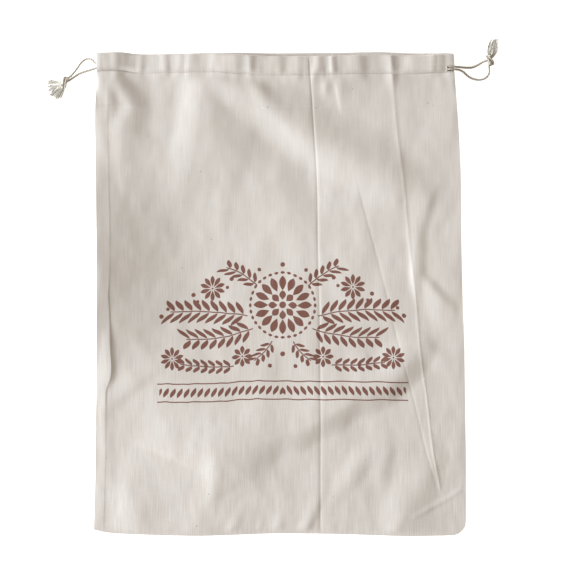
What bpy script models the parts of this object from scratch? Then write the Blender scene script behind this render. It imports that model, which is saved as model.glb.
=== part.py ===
"""Drawstring bread bag of natural linen, lying on its back.

Two panels are sewn together at the sides and the bottom. The top of each panel is folded down into
the bag as a hem, which makes a channel for two drawcords. One cord leaves the channels at the left,
the other at the right, and the two ends of each are tied in a frayed knot.

X is the bag's width, +Y points to its mouth and +Z is up. The back panel rests on z = 0.
Tables are in millimetres, and the meshes in metres.
"""
from math import cos, hypot, pi, radians, sin

import bmesh
import bpy
from mathutils import Vector

MM = 0.001

# Cloth, cord and clearances
CLOTH = 1.0
GAP = 0.3
CORD = 2.0
CHANNEL = CORD + 2 * GAP

# Drawstring casing: a hem turned down inside each panel
CASING_DEPTH = 18.0
HEM_TAIL = 2.5
MOUTH_OPENING = 4.5
MOUTH_SIDES = (80.0, 100.0)
CASING_BLEND = 50.0
CASING_DROOP = 0.5
DROOP_WIDTH = 4.0
FOLD_RADIUS = (CHANNEL + CLOTH) / 2
CHANNEL_STEP = CHANNEL + CLOTH
LAYER_STEP = CLOTH + GAP

# Body of the bag
FRONT_LEVEL = 8.2
SEAM_ROLL = 9.0
TOP_ROLL = 4.0
ROLL_TIGHTENS = 150.0
ROLL_POWER = 2.2
RIM_CURL = 16.0
CORNER_RADIUS = 13.0
Y_BOTTOM = -228.0
Y_TOP = 228.0

# Outline of the sides, with the height to which the back panel's rim curls up at each seam
SIDE_EDGES = (
    # y, left x, right x, left rim, right rim
    (-228, -174.8, 175.3, 2.9, 4.4), (-194, -173.4, 175.3, 2.4, 4.7), (-156, -172.6, 175.2, 2.8, 5.0),
    (-120, -172.5, 174.6, 3.6, 5.5), (-100, -172.5, 174.4, 4.1, 5.7), (-76, -172.2, 174.0, 5.0, 5.9),
    (-43, -171.7, 173.4, 7.8, 6.2), (-20, -171.4, 172.4, 9.5, 7.0), (-6, -171.2, 172.0, 10.1, 6.2),
    (20, -171.3, 171.4, 10.3, 6.2), (51, -171.6, 170.8, 10.1, 6.2), (80, -172.0, 170.6, 9.2, 6.1),
    (107, -172.4, 170.4, 8.0, 6.0), (135, -172.9, 169.4, 6.8, 5.9), (163, -173.4, 167.8, 7.7, 5.7),
    (190, -172.4, 165.8, 4.4, 4.6), (206, -171.8, 164.8, 0.3, 1.2), (228, -171.6, 163.6, 0, 0),
)
BOTTOM_EDGE = (
    # x, y
    (-175, -222.0), (-163, -224.7), (-140, -226.2), (-80, -227.8), (-40, -226.7), (-8, -225.5),
    (30, -225.6), (66, -226.3), (122, -228.0), (150, -227.6), (176, -226.8),
)
TOP_EDGE = (
    # x, back panel's y, front panel's y
    (-172, 226.9, 226.9), (-150, 227.5, 227.5), (-131, 225.5, 225.5), (-94, 225.8, 225.8),
    (-65, 227.1, 226.4), (-37, 227.9, 225.0), (-9, 227.2, 223.5), (30, 227.5, 223.7),
    (52, 227.7, 224.1), (95, 228.4, 225.1), (123, 227.2, 224.6), (164, 227.3, 226.6),
)

# Pressed creases that run down the front panel; columns of the mesh follow them
CREASE_LINES = (
    # y, long crease x, slanting crease x, side crease x
    (224, 27.6, 62.0, 104.4),
    (154, 32.4, 67.5, 110.5),
    (107, 35.3, 73.0, 116.4),
    (41, 36.2, 90.0, 122.7),
    (-6, 37.4, 102.0, 128.3),
    (-53, 38.2, 113.3, 132.1),
    (-100, 38.5, 126.5, 138.7),
    (-147, 38.5, 137.6, 144.3),
    (-184, 38.5, 147.4, 150.9),
    (-228, 38.5, 146.0, 153.5),
)
CREASES = (
    # column of CREASE_LINES, lowest y, highest y, half width, height
    (1, -235, 235, 5.0, -0.5),
    (2, -184, 125, 4.0, -0.3),
    (3, -186, 235, 5.0, 0.5),
)
CREASE_FADE = 45.0
SEAM_ALLOWANCE = 12.0
ALLOWANCE_STEP = 2.0
ALLOWANCE_RISE = 0.4

# Broad folds of the front panel: each is a soft ridge, or with a negative height a hollow
FOLDS = {
    # points of each crest: x, y, west width, east width, height
    "standing seam": ((-215, 132, 14, 88, 0.6), (-215, 96, 14, 122, 3.4), (-215, 52, 14, 126, 5.8),
                      (-215, 15, 14, 126, 6.2), (-215, -20, 14, 122, 5.4), (-215, -48, 14, 112, 3.4),
                      (-215, -70, 14, 100, 1.4), (-215, -92, 14, 90, 0.3)),
    "left hollow": ((-74, 140, 80, 110, -0.3), (-74, 100, 94, 125, -1.4), (-74, 48, 100, 130, -2.6),
                    (-74, 8, 100, 130, -2.6), (-74, -32, 96, 120, -1.5), (-74, -72, 86, 110, -0.4)),
    "corner slope": ((-176, 214, 14, 58, 0.8), (-176, 196, 14, 66, 2.0), (-176, 170, 14, 62, 2.0),
                     (-176, 146, 14, 56, 0.7)),
    "corner fall": ((-149, 228, 14, 12, 1.0), (-154, 208, 12, 12, 1.0), (-147, 192, 10, 14, 0.9),
                    (-138, 178, 12, 18, 1.3), (-141, 165, 16, 26, 1.3), (-146, 153, 18, 32, 1.7),
                    (-146, 140, 16, 36, 1.3), (-148, 118, 14, 34, 0.5)),
    "upper crest": ((-66, 222, 30, 62, 1.3), (-69, 202, 27, 68, 2.8), (-73, 178, 28, 74, 3.4),
                    (-76, 148, 28, 74, 3.2), (-82, 118, 30, 68, 1.7), (-88, 88, 34, 60, 0.3)),
    "long diagonal": ((-56, 210, 22, 34, 0.6), (-24, 184, 26, 36, 2.6), (12, 160, 30, 37, 3.5),
                      (48, 140, 32, 38, 3.5), (78, 125, 34, 36, 3.2), (104, 110, 36, 34, 2.8),
                      (124, 98, 30, 30, 1.7), (146, 88, 26, 24, 0.4)),
    "diagonal's foot": ((-62, 190, 24, 26, -0.3), (-36, 160, 28, 30, -1.0), (2, 124, 32, 34, -1.2),
                        (34, 98, 38, 34, -1.2), (64, 74, 34, 34, -0.3)),
    "second diagonal": ((-50, 170, 26, 24, 0.6), (-22, 142, 28, 26, 1.1), (4, 114, 28, 24, 1.1),
                        (16, 86, 24, 18, 0.3)),
    "lower ridge": ((134, -34, 22, 18, 0.5), (126, -56, 28, 22, 1.9), (104, -84, 36, 19, 3.2),
                    (84, -93, 45, 24, 3.0), (62, -103, 50, 20, 3.2), (46, -113, 55, 24, 3.0),
                    (32, -121, 60, 20, 3.1), (10, -129, 60, 26, 2.6), (-10, -135, 60, 24, 2.4),
                    (-32, -148, 56, 40, 1.8), (-50, -162, 50, 60, 1.2), (-58, -184, 46, 60, 0.5),
                    (-60, -204, 40, 50, 0.1)),
    "lower left fall": ((-176, -60, 20, 60, -0.4), (-176, -100, 20, 96, -2.0),
                        (-176, -150, 20, 108, -3.2), (-176, -200, 20, 112, -3.2),
                        (-176, -236, 20, 112, -2.8)),
    "right side rise": ((178, 236, 60, 20, -0.6), (178, 100, 70, 20, 0.2), (178, 0, 80, 20, 0.5),
                        (178, -100, 70, 20, -0.2), (178, -160, 70, 20, -0.9), (178, -236, 70, 20, -1.6)),
    "right ridge": ((142, 98, 16, 10, 0.3), (140, 88, 18, 9, 0.6), (132, 60, 14, 9, 0.8),
                    (128, 38, 9, 12, 1.0), (127.5, 20, 7, 12, 1.2), (128, 5, 6, 10, 0.7),
                    (129, -4, 6, 8, 0.1)),
    "right tuck": ((136.5, 14, 6, 6, 0.3), (141, 8, 10, 8, 1.0), (150, -4, 20, 10, 1.2),
                   (160, -15, 26, 12, 1.0), (171, -25, 28, 12, 0.6)),
    "pleat crest": ((-58, -143, 22, 44, 0.3), (-58, -158, 20, 44, 1.1), (-60, -172, 16, 38, 1.1),
                    (-62, -187, 10, 14, 0.7), (-65, -198, 8, 12, 0.2)),
    "low hill": ((-60, -104, 90, 70, 0.5), (-58, -128, 92, 70, 1.9), (-58, -150, 90, 64, 2.1),
                 (-62, -170, 60, 50, 0.7), (-70, -184, 30, 30, 0.1)),
    "corner hill": ((-142, -176, 26, 40, 0.4), (-142, -192, 26, 48, 1.0), (-140, -206, 26, 48, 1.3),
                    (-136, -226, 26, 44, 1.0)),
    "bottom roll": ((148, -154, 24, 14, 0.4), (134, -176, 26, 20, 1.2), (120, -202, 26, 26, 1.2),
                    (110, -228, 24, 26, 1.0)),
}
CREST_STEP = 8.0
CREST_WIDTH = 8.0

# Gathers that the drawstring pulls into the casing
GATHERS = (
    # x, west half width, east half width, height, reach below the stitches
    (-161, 24, 60, 3.0, 48), (-150, 13, 13, 0.9, 34), (-101, 11, 11, 0.7, 22), (-66, 12, 12, 0.8, 30),
    (-26, 11, 11, 0.8, 20), (-3, 11, 11, 0.8, 24), (19, 10, 10, 0.7, 26), (48, 12, 12, 0.9, 30),
    (73, 12, 12, 1.0, 34), (102, 12, 12, 1.1, 36),
)

# Sections of the casing, from the panel over the stitches and the top fold to the hem's edge
OUTER_SECTION = (
    # below the top edge, height above the hem's middle, right end's inset
    (18.0, LAYER_STEP, 0.0), (17.3, 1.9, 6.8), (15.5, 2.9, 6.8), (13.2, CHANNEL_STEP, 6.8),
    (11.2, CHANNEL_STEP, 6.8), (10.4, CHANNEL_STEP, 0.0), (6.0, CHANNEL_STEP, 0.0),
    (2.3, CHANNEL_STEP, 0.0),
)
TURN_STEPS = 3
HEM_INSET_LEFT = 12.0
HEM_INSET_RIGHT = 22.0
INSET_POWERS = (4, 6)
TURN_POWER = 3
HEM_ROWS = (2.3, 8.0, 14.0, CASING_DEPTH + HEM_TAIL)
BACK_HEM_SECTION = (
    # below the top edge, height of the hem above the panel's middle
    (2.3, CHANNEL_STEP), (8.0, CHANNEL_STEP), (13.2, CHANNEL_STEP), (15.5, 2.9), (18.0, LAYER_STEP),
    (20.5, LAYER_STEP),
)

# Columns and rows of the two meshes
FRONT_SPANS = ((0, 0.35, 0.7), 26, 7, 3, (0, 0.25, 0.5, 0.72, 0.88, 1))
BACK_COLUMNS = 20
BACK_EASE = 0.11
BACK_ROWS = 16
BACK_TOP_ROWS = (8.0, 2.3)
EDGE_ROWS = (0, 3, 8, 16)
FRONT_BODY_ROWS = 32
BLEND_ROWS = (50, 44, 38, 32, 26, 22)
BLEND_OVERLAP = 2.0
BOTTOM_POWER = 5
SHARP_ANGLE = 50.0

# Routes of the cords
STRAND_NEAR_FOLD = 6.0
STRAND_NEAR_STITCHES = 11.5
BACK_STRAND_Z = CLOTH + GAP + CORD / 2
FRONT_STRAND_LIFT = CLOTH / 2 + GAP + CORD / 2
CHANNEL_TOP_Y = 227.0
CORD_BEVEL = 2
RUN_STEP = 11.0
TURN_ANGLES = (-60, -30, 0, 30, 60)
FREE_STEP = 4.0

# Where each strand leaves the casing, and its direction there
EXITS = {
    "left_front": ((-173.0, 216.6, 5.0), (-0.75, 0.55, -0.35)),
    "left_back": ((-173.0, 213.0, 2.3), (-1.0, -0.3, -0.1)),
    "right_front": ((157.4, 213.6, 7.2), (0.92, -0.04, 0.38)),
    "right_back": ((157.4, 211.1, 6.6), (0.87, -0.04, 0.48)),
}
HELD_LEADS = {
    # points between the straight channel and the exit
    "left_front": ((-168.2, 219.3, 6.6),),
    "left_back": ((-169.4, 214.7, 2.5),),
    "right_front": ((151.5, 214.6, 7.0),),
    "right_back": ((149.0, 220.2, 2.6), (152.2, 216.6, 3.9)),
}
FREE_ROUTES = {
    # points from just outside the exit to the knot
    "left_front": (
        (-175.0, 218.6, 3.9), (-177.6, 220.9, 2.4), (-180.8, 221.9, 1.4), (-184.0, 221.0, 1.1),
        (-187.6, 217.8, 1.1), (-191.0, 212.9, 1.1), (-193.9, 208.8, 1.5), (-196.6, 205.6, 2.5),
        (-198.6, 204.1, 2.9),
    ),
    "left_back": (
        (-176.8, 211.9, 1.5), (-181.0, 210.6, 1.1), (-185.8, 209.0, 1.1), (-190.2, 206.9, 1.1),
        (-194.8, 203.7, 2.1), (-197.0, 201.9, 2.8),
    ),
    "right_front": (
        (162.2, 213.4, 8.6), (165.6, 213.3, 8.2), (169.5, 213.3, 6.2), (173.4, 213.2, 3.6),
        (178.0, 213.2, 1.6), (182.6, 213.7, 1.1), (187.0, 215.8, 1.2), (192.2, 219.0, 2.6),
    ),
    "right_back": (
        (162.2, 211.0, 8.4), (165.6, 210.9, 7.8), (169.6, 210.6, 5.4), (173.6, 208.8, 2.8),
        (178.2, 205.0, 1.3), (183.4, 202.5, 1.1), (189.4, 201.9, 1.1), (194.4, 203.8, 1.1),
        (197.2, 207.2, 1.1), (197.8, 211.0, 1.8), (197.4, 214.4, 2.8),
    ),
}
EXIT_LEAD = 1.6

# Overhand knots, with the cords' frayed ends
KNOTS = (
    # name, centre x, y, z, direction of the tail
    ("left_knot", -202.4, 199.4, 3.3, 218.0),
    ("right_knot", 198.2, 220.4, 3.3, 82.0),
)
KNOT_RADII = (5.2, 4.6, 3.25)
KNOT_RINGS = 10
KNOT_SIDES = 14
KNOT_WRAPS = 3
WRAP_HEIGHT = 0.32
WRAP_SLANT = 0.35
FRAYED_ENDS = {
    # length and direction of each frayed ply, in degrees from the tail's own direction
    "left_knot": ((16.5, -45), (17.5, -30), (18.5, -15), (19.5, -2), (19.5, 10), (18.5, 22), (16.5, 34)),
    "right_knot": ((20.0, -14), (24.0, -5), (24.5, 4), (21.0, 14)),
}
PLY_WIDTH = 1.1
PLY_TIP = 0.7
PLY_STEPS = 6
PLY_ROOT_DROP = 0.6
PLY_SINK = 2.4
PLY_CLEARANCE = 0.05


def clamp(value, low=0.0, high=1.0):
    return max(low, min(high, value))


def smooth(value):
    value = clamp(value)
    return value * value * (3 - 2 * value)


def read_table(table, column, at):
    """Smooth curve through one column of a table, read at a value of its first column."""
    rows = table if table[0][0] < table[-1][0] else table[::-1]
    at = clamp(at, rows[0][0], rows[-1][0])
    last = len(rows) - 2
    i = min(last, max(k for k in range(len(rows) - 1) if rows[k][0] <= at))

    def slope(k):
        a, b = max(0, k - 1), min(len(rows) - 1, k + 1)
        return (rows[b][column] - rows[a][column]) / (rows[b][0] - rows[a][0])

    span = rows[i + 1][0] - rows[i][0]
    t = (at - rows[i][0]) / span
    start, end = rows[i][column], rows[i + 1][column]
    return ((2 * t**3 - 3 * t**2 + 1) * start + (t**3 - 2 * t**2 + t) * span * slope(i)
            + (3 * t**2 - 2 * t**3) * end + (t**3 - t**2) * span * slope(i + 1))


def left_edge(y):
    return read_table(SIDE_EDGES, 1, y)


def right_edge(y):
    return read_table(SIDE_EDGES, 2, y)


def bottom_edge(x):
    """Bottom seam, with the rounded corner at its right end."""
    y = read_table(BOTTOM_EDGE, 1, x)
    past = clamp(x - (right_edge(Y_BOTTOM) - CORNER_RADIUS), 0, CORNER_RADIUS)
    return y + CORNER_RADIUS - (CORNER_RADIUS**2 - past**2) ** 0.5


def rim_height(x, y):
    """Height to which the seam lifts the back panel's rim, left to right."""
    share = smooth((x - left_edge(y)) / (right_edge(y) - left_edge(y)))
    height = read_table(SIDE_EDGES, 3, y) * (1 - share) + read_table(SIDE_EDGES, 4, y) * share
    return max(0.0, height)


def edge_distances(x, y):
    return x - left_edge(y), right_edge(y) - x, y - bottom_edge(x)


def smooth_route(points, step):
    """Points about a step apart on one smooth curve through the route's own points."""
    points = [Vector(point) for point in points]
    padded = [2 * points[0] - points[1]] + points + [2 * points[-1] - points[-2]]
    route = []
    for a, b, c, d in zip(padded, padded[1:], padded[2:], padded[3:]):
        pieces = max(1, round((c - b).length / step))
        for k in range(pieces):
            t = k / pieces
            route.append(0.5 * (2 * b + (c - a) * t + (2 * a - 5 * b + 4 * c - d) * t**2
                                + (3 * b - a - 3 * c + d) * t**3))
    return route + [points[-1]]


CRESTS = [[tuple(point) for point in smooth_route(points, CREST_STEP)] for points in FOLDS.values()]


def nearest_on_crest(crest, x, y):
    """Distance to a crest, the distance to its left side, and the crest's own values there."""
    nearest = None
    for a, b in zip(crest, crest[1:]):
        dx, dy = b[0] - a[0], b[1] - a[1]
        length = hypot(dx, dy)
        share = clamp(((x - a[0]) * dx + (y - a[1]) * dy) / length**2)
        distance = hypot(x - a[0] - dx * share, y - a[1] - dy * share)
        if nearest is None or distance < nearest[0]:
            side = ((y - a[1]) * dx - (x - a[0]) * dy) / length
            nearest = (distance, side, [p + (q - p) * share for p, q in zip(a, b)])
    return nearest


def fold_height(crest, x, y):
    """Height of one fold: a ridge that is soft to both sides of its crest."""
    distance, side, (_, _, west_width, east_width, height) = nearest_on_crest(crest, x, y)
    east = side if crest[0][1] >= crest[-1][1] else -side
    towards_east = smooth(east / CREST_WIDTH + 0.5)
    width = west_width * (1 - towards_east) + east_width * towards_east
    return height * smooth(1 - distance / width)


def crease(column, low, high, half_width, x, y):
    """Share of a crease's height at a place: a sharp line that fades at both ends."""
    line = read_table(CREASE_LINES, column, y)
    fade = smooth((y - low) / CREASE_FADE) * smooth((high - y) / CREASE_FADE)
    return fade * clamp(1 - abs(x - line) / half_width)


def body_relief(x, y):
    """Height of the front panel's folds above its level."""
    height = sum(fold_height(crest, x, y) for crest in CRESTS)
    height += sum(row[4] * crease(*row[:4], x, y) for row in CREASES)
    allowance = clamp((left_edge(y) + SEAM_ALLOWANCE + ALLOWANCE_STEP - x) / ALLOWANCE_STEP)
    return height + ALLOWANCE_RISE * allowance


def gather(x, y, stitches_y):
    """Height of the casing's gathers, fading below the stitches."""
    total = 0.0
    for centre, west_width, east_width, height, reach in GATHERS:
        fade = smooth(1 - max(0.0, stitches_y - y) / reach)
        total += height * fade * smooth(1 - abs(x - centre) / (east_width if x > centre else west_width))
    return total


def hem_level(x):
    """Middle of the front hem, which stands clear of the back hem in mid mouth."""
    left = x - left_edge(Y_TOP) - HEM_INSET_LEFT
    right = right_edge(Y_TOP) - HEM_INSET_RIGHT - x
    rest = CLOTH / 2 + CHANNEL_STEP + LAYER_STEP
    return rest + MOUTH_OPENING * smooth(min(left / MOUTH_SIDES[0], right / MOUTH_SIDES[1]))


def front_body(x, y):
    """Middle of the front panel below the casing: it rolls down to the seam at its edges."""
    left, right, bottom = edge_distances(x, y)
    seam = CLOTH / 2 + LAYER_STEP + rim_height(x, y)
    open_level = FRONT_LEVEL - CLOTH / 2 + body_relief(x, y)
    tightened = smooth((y - ROLL_TIGHTENS) / (Y_TOP - CASING_DEPTH - ROLL_TIGHTENS))
    reach = SEAM_ROLL + (TOP_ROLL - SEAM_ROLL) * tightened
    roll = 1.0
    for distance in (left, right, bottom):
        roll *= 1 - (1 - clamp(distance / reach)) ** ROLL_POWER
    return seam + (open_level - seam) * roll


def casing_droop(x, y):
    nearest = min(x - left_edge(y), right_edge(y) - x)
    return CASING_DROOP * (1 - clamp(nearest / DROOP_WIDTH)) ** 2


def front_columns():
    """Shares of each span between guide lines: (span, share) for every column of vertices."""
    columns = []
    for span, steps in enumerate(FRONT_SPANS):
        shares = steps if isinstance(steps, tuple) else [k / steps for k in range(steps)]
        columns += [(span, share) for share in shares]
    return columns


def front_x(column, y, inset_left=0.0, inset_right=0.0):
    """Place of a column at a height y: guide lines are the seams, the allowance and the creases."""
    left, right = left_edge(y), right_edge(y)
    guides = [left, left + SEAM_ALLOWANCE]
    guides += [read_table(CREASE_LINES, k, y) for k in (1, 2, 3)]
    guides.append(right)
    span, share = column
    x = guides[span] * (1 - share) + guides[span + 1] * share
    across = (x - left) / (right - left)
    x += inset_left * (1 - across) ** INSET_POWERS[0]
    return x - inset_right * across ** INSET_POWERS[1]


def add_sheet(name, rows, material):
    """Sheet of cloth from rows of points in its middle, thickened to both sides."""
    mesh = bpy.data.meshes.new(name)
    points = [Vector(point) * MM for row in rows for point in row]
    width = len(rows[0])
    faces = [(j * width + i, j * width + i + 1, (j + 1) * width + i + 1, (j + 1) * width + i)
             for j in range(len(rows) - 1) for i in range(width - 1)]
    mesh.from_pydata(points, [], faces)
    mesh.shade_smooth()
    mesh.set_sharp_from_angle(angle=radians(SHARP_ANGLE))
    sheet = bpy.data.objects.new(name, mesh)
    bpy.context.collection.objects.link(sheet)
    mesh.materials.append(material)
    solidify = sheet.modifiers.new("cloth thickness", "SOLIDIFY")
    solidify.thickness = CLOTH * MM
    solidify.offset = 0.0
    solidify.use_even_offset = False
    return sheet


def row_heights(bottom, top, steps):
    """Heights y of the rows from the bottom seam up, closer together at the seam."""
    start = bottom + EDGE_ROWS[-1]
    rows = [bottom + edge for edge in EDGE_ROWS]
    return rows + [start + (top - start) * k / steps for k in range(1, steps + 1)]


def turn_points(top_y, level):
    """Middle of the top fold, from the outer layer over to the hem, round the channel."""
    y, z = top_y - CLOTH / 2 - FOLD_RADIUS, level + FOLD_RADIUS
    angles = [pi / 2 - pi * k / (TURN_STEPS + 1) for k in range(1, TURN_STEPS + 1)]
    return [(y + FOLD_RADIUS * cos(angle), z + FOLD_RADIUS * sin(angle)) for angle in angles]


def fit_bottom(x, y):
    """Moves a row near the bottom so that the lowest row lies on the seam's own line."""
    share = clamp((Y_TOP - y) / (Y_TOP - Y_BOTTOM)) ** BOTTOM_POWER
    return y + (bottom_edge(x) - Y_BOTTOM) * share


def body_rows(columns):
    """Rows of the front panel from the bottom seam up to where the casing's form begins."""
    rows = []
    for y in row_heights(Y_BOTTOM, Y_TOP - CASING_BLEND, FRONT_BODY_ROWS)[:-1]:
        row = []
        for column in columns:
            x = front_x(column, y)
            place = fit_bottom(x, y)
            row.append((x, place, front_body(x, place)))
        rows.append(row)
    return rows


def blend_rows(columns):
    """Rows in which the body's form passes into the casing's, up to the stitches."""
    rows = []
    for below in BLEND_ROWS:
        passed = CASING_BLEND + BLEND_OVERLAP - below
        share = smooth(passed / (CASING_BLEND + BLEND_OVERLAP - CASING_DEPTH))
        row = []
        for column in columns:
            x = front_x(column, Y_TOP - below)
            top = read_table(TOP_EDGE, 2, x)
            y = top - below
            casing = hem_level(x) + LAYER_STEP - casing_droop(x, y)
            z = front_body(x, y) * (1 - share) + casing * share + gather(x, y, top - CASING_DEPTH)
            row.append((x, y, z))
        rows.append(row)
    return rows


def casing_rows(columns):
    """Rows of the casing's outer layer, from the stitches to the top fold."""
    rows = []
    for below, lift, inset in OUTER_SECTION:
        row = []
        for column in columns:
            x = front_x(column, Y_TOP - below, 0.0, inset)
            y = read_table(TOP_EDGE, 2, x) - below
            puff = gather(x, y, y) * (lift / CHANNEL_STEP)
            row.append((x, y, hem_level(x) + lift + puff - casing_droop(x, y)))
        rows.append(row)
    return rows


def hem_rows(columns):
    """Rows of the top fold and of the hem inside, down past the stitches."""
    rows = []
    for step in range(TURN_STEPS):
        share = (step + 1) / (TURN_STEPS + 1)
        inset = share**TURN_POWER
        row = []
        for column in columns:
            x = front_x(column, Y_TOP, HEM_INSET_LEFT * inset, HEM_INSET_RIGHT * inset)
            y, z = turn_points(read_table(TOP_EDGE, 2, x), hem_level(x))[step]
            row.append((x, y, z - casing_droop(x, y) * (1 - share)))
        rows.append(row)
    for below in HEM_ROWS:
        row = []
        for column in columns:
            x = front_x(column, Y_TOP - below, HEM_INSET_LEFT, HEM_INSET_RIGHT)
            row.append((x, read_table(TOP_EDGE, 2, x) - below, hem_level(x)))
        rows.append(row)
    return rows


def make_front_panel(material):
    columns = front_columns()
    rows = body_rows(columns) + blend_rows(columns) + casing_rows(columns) + hem_rows(columns)
    return add_sheet("front_panel", rows, material)


def back_height(x, y):
    """Middle of the back panel: flat on the surface, with its rim curled up to the seam."""
    curl = max((1 - clamp(distance / RIM_CURL)) ** 2 for distance in edge_distances(x, y))
    return CLOTH / 2 + rim_height(x, y) * curl


def back_x(share, y, inset_left=0.0, inset_right=0.0):
    """Columns of the back panel, closer together at both sides."""
    eased = share - BACK_EASE * sin(2 * pi * share)
    left, right = left_edge(y) + inset_left, right_edge(y) - inset_right
    return left + (right - left) * eased


def make_back_panel(material):
    shares = [k / BACK_COLUMNS for k in range(BACK_COLUMNS + 1)]
    rows = []
    for y in row_heights(Y_BOTTOM, Y_TOP - CASING_DEPTH, BACK_ROWS):
        row = []
        for share in shares:
            x = back_x(share, y)
            place = fit_bottom(x, y)
            row.append((x, place, back_height(x, place)))
        rows.append(row)
    for below in BACK_TOP_ROWS:
        row = []
        for share in shares:
            x = back_x(share, Y_TOP - below)
            row.append((x, read_table(TOP_EDGE, 1, x) - below, CLOTH / 2))
        rows.append(row)
    for step in range(TURN_STEPS):
        inset = ((step + 1) / (TURN_STEPS + 1)) ** TURN_POWER
        row = []
        for share in shares:
            x = back_x(share, Y_TOP, HEM_INSET_LEFT * inset, HEM_INSET_RIGHT * inset)
            y, z = turn_points(read_table(TOP_EDGE, 1, x), CLOTH / 2)[TURN_STEPS - 1 - step]
            row.append((x, y, z))
        rows.append(row)
    for below, lift in BACK_HEM_SECTION:
        row = []
        for share in shares:
            x = back_x(share, Y_TOP - below, HEM_INSET_LEFT, HEM_INSET_RIGHT)
            row.append((x, read_table(TOP_EDGE, 1, x) - below, CLOTH / 2 + lift))
        rows.append(row)
    return add_sheet("back_panel", rows, material)


def add_cord(name, points, step, material):
    """Cord as a tube with closed ends along a smooth route."""
    route = smooth_route(points, step)
    curve = bpy.data.curves.new(name, "CURVE")
    curve.dimensions = "3D"
    curve.bevel_depth = CORD / 2 * MM
    curve.bevel_resolution = CORD_BEVEL
    curve.use_fill_caps = True
    spline = curve.splines.new("POLY")
    spline.points.add(len(route) - 1)
    for point, place in zip(spline.points, route):
        point.co = (*(place * MM), 1.0)
    curve.materials.append(material)
    cord = bpy.data.objects.new(name, curve)
    bpy.context.collection.objects.link(cord)
    return cord


def front_strand(x, below):
    return x, CHANNEL_TOP_Y - below, hem_level(x) + FRONT_STRAND_LIFT


def back_strand(x, below):
    return x, CHANNEL_TOP_Y - below, BACK_STRAND_Z


def turn_round(x, direction, front_below, back_below):
    """Half circle in which a cord goes from the front channel over to the back one."""
    front = Vector(front_strand(x, front_below))
    back = Vector(back_strand(x, back_below))
    centre = (front + back) / 2
    radius = (front - back).length / 2
    points = []
    for angle in TURN_ANGLES:
        along = (front - centre) * sin(radians(-angle))
        points.append(centre + along + Vector((direction * radius * cos(radians(angle)), 0, 0)))
    return [tuple(point) for point in points]


def exit_point(strand, distance):
    """Point on a strand near its exit: the distance is negative inside the channel."""
    place, heading = (Vector(part) for part in EXITS[strand])
    return tuple(place + heading.normalized() * distance)


def make_held_cord(side, near_x, turn_x, direction, front_below, back_below, material):
    """Held stretch of a cord: through the front channel, round its far end and back again."""
    steps = round(abs(turn_x - near_x) / RUN_STEP)
    xs = [near_x + (turn_x - near_x) * k / steps for k in range(steps + 1)]
    route = [exit_point(f"{side}_front", -GAP / 2), exit_point(f"{side}_front", -EXIT_LEAD)]
    route += HELD_LEADS[f"{side}_front"][::-1]
    route += [front_strand(x, front_below) for x in xs]
    route += turn_round(turn_x, direction, front_below, back_below)
    route += [back_strand(x, back_below) for x in reversed(xs)]
    route += HELD_LEADS[f"{side}_back"]
    route += [exit_point(f"{side}_back", -EXIT_LEAD), exit_point(f"{side}_back", -GAP / 2)]
    return add_cord(f"{side}_drawcord", route, 2 * RUN_STEP, material)


def make_free_strands(material):
    for strand, points in FREE_ROUTES.items():
        route = [exit_point(strand, GAP / 2), exit_point(strand, EXIT_LEAD), *points]
        add_cord(f"{strand}_strand", route, FREE_STEP, material)


def knot_surface(theta, phi):
    """Point on a knot about its own centre, with the raised turns of cord round its axis."""
    wraps = WRAP_HEIGHT * abs(cos(KNOT_WRAPS * (theta / 2 + WRAP_SLANT * sin(phi))))
    x, y, z = KNOT_RADII
    swell = 1 + wraps / y
    return Vector((x * cos(theta), y * swell * sin(theta) * cos(phi), z * swell * sin(theta) * sin(phi)))


def add_knot_body(name, material):
    rings, sides = KNOT_RINGS, KNOT_SIDES
    mesh = bpy.data.meshes.new(name)
    points = [knot_surface(0, 0)]
    for ring in range(1, rings):
        points += [knot_surface(pi * ring / rings, 2 * pi * side / sides) for side in range(sides)]
    points.append(knot_surface(pi, 0))
    last = len(points) - 1
    faces = []
    for side in range(sides):
        after = (side + 1) % sides
        faces.append((0, 1 + side, 1 + after))
        for ring in range(rings - 2):
            a, b = 1 + ring * sides + side, 1 + ring * sides + after
            faces.append((a, a + sides, b + sides, b))
        faces.append((last, last - sides + after, last - sides + side))
    mesh.from_pydata([point * MM for point in points], [], faces)
    mesh.shade_smooth()
    mesh.materials.append(material)
    knot = bpy.data.objects.new(name, mesh)
    bpy.context.collection.objects.link(knot)
    return knot


def add_ply(name, length, direction, drop):
    """Frayed ply: a four-sided tapering strand from inside the knot down to the surface."""
    mesh = bpy.data.meshes.new(name)
    form = bmesh.new()
    heading = Vector((cos(radians(direction)), sin(radians(direction)), 0))
    across = Vector((-heading.y, heading.x, 0))
    previous = None
    for k in range(PLY_STEPS + 1):
        t = k / PLY_STEPS
        half = (PLY_WIDTH * (1 - t) + PLY_TIP * t) / 2
        floor = -drop + half + PLY_CLEARANCE
        sink = smooth(t * PLY_SINK)
        centre = heading * length * t + Vector((0, 0, floor * sink - PLY_ROOT_DROP * (1 - sink)))
        corners = [centre + across * half * a + Vector((0, 0, half * b))
                   for a, b in ((-1, -1), (1, -1), (1, 1), (-1, 1))]
        ring = [form.verts.new(corner * MM) for corner in corners]
        if previous:
            for side in range(4):
                after = (side + 1) % 4
                form.faces.new((previous[side], previous[after], ring[after], ring[side]))
        else:
            form.faces.new(ring)
        previous = ring
    form.faces.new(previous[::-1])
    bmesh.ops.recalc_face_normals(form, faces=form.faces)
    form.to_mesh(mesh)
    form.free()
    ply = bpy.data.objects.new(name, mesh)
    ply.hide_render = True
    ply.display_type = "WIRE"
    bpy.context.collection.objects.link(ply)
    return ply


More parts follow.
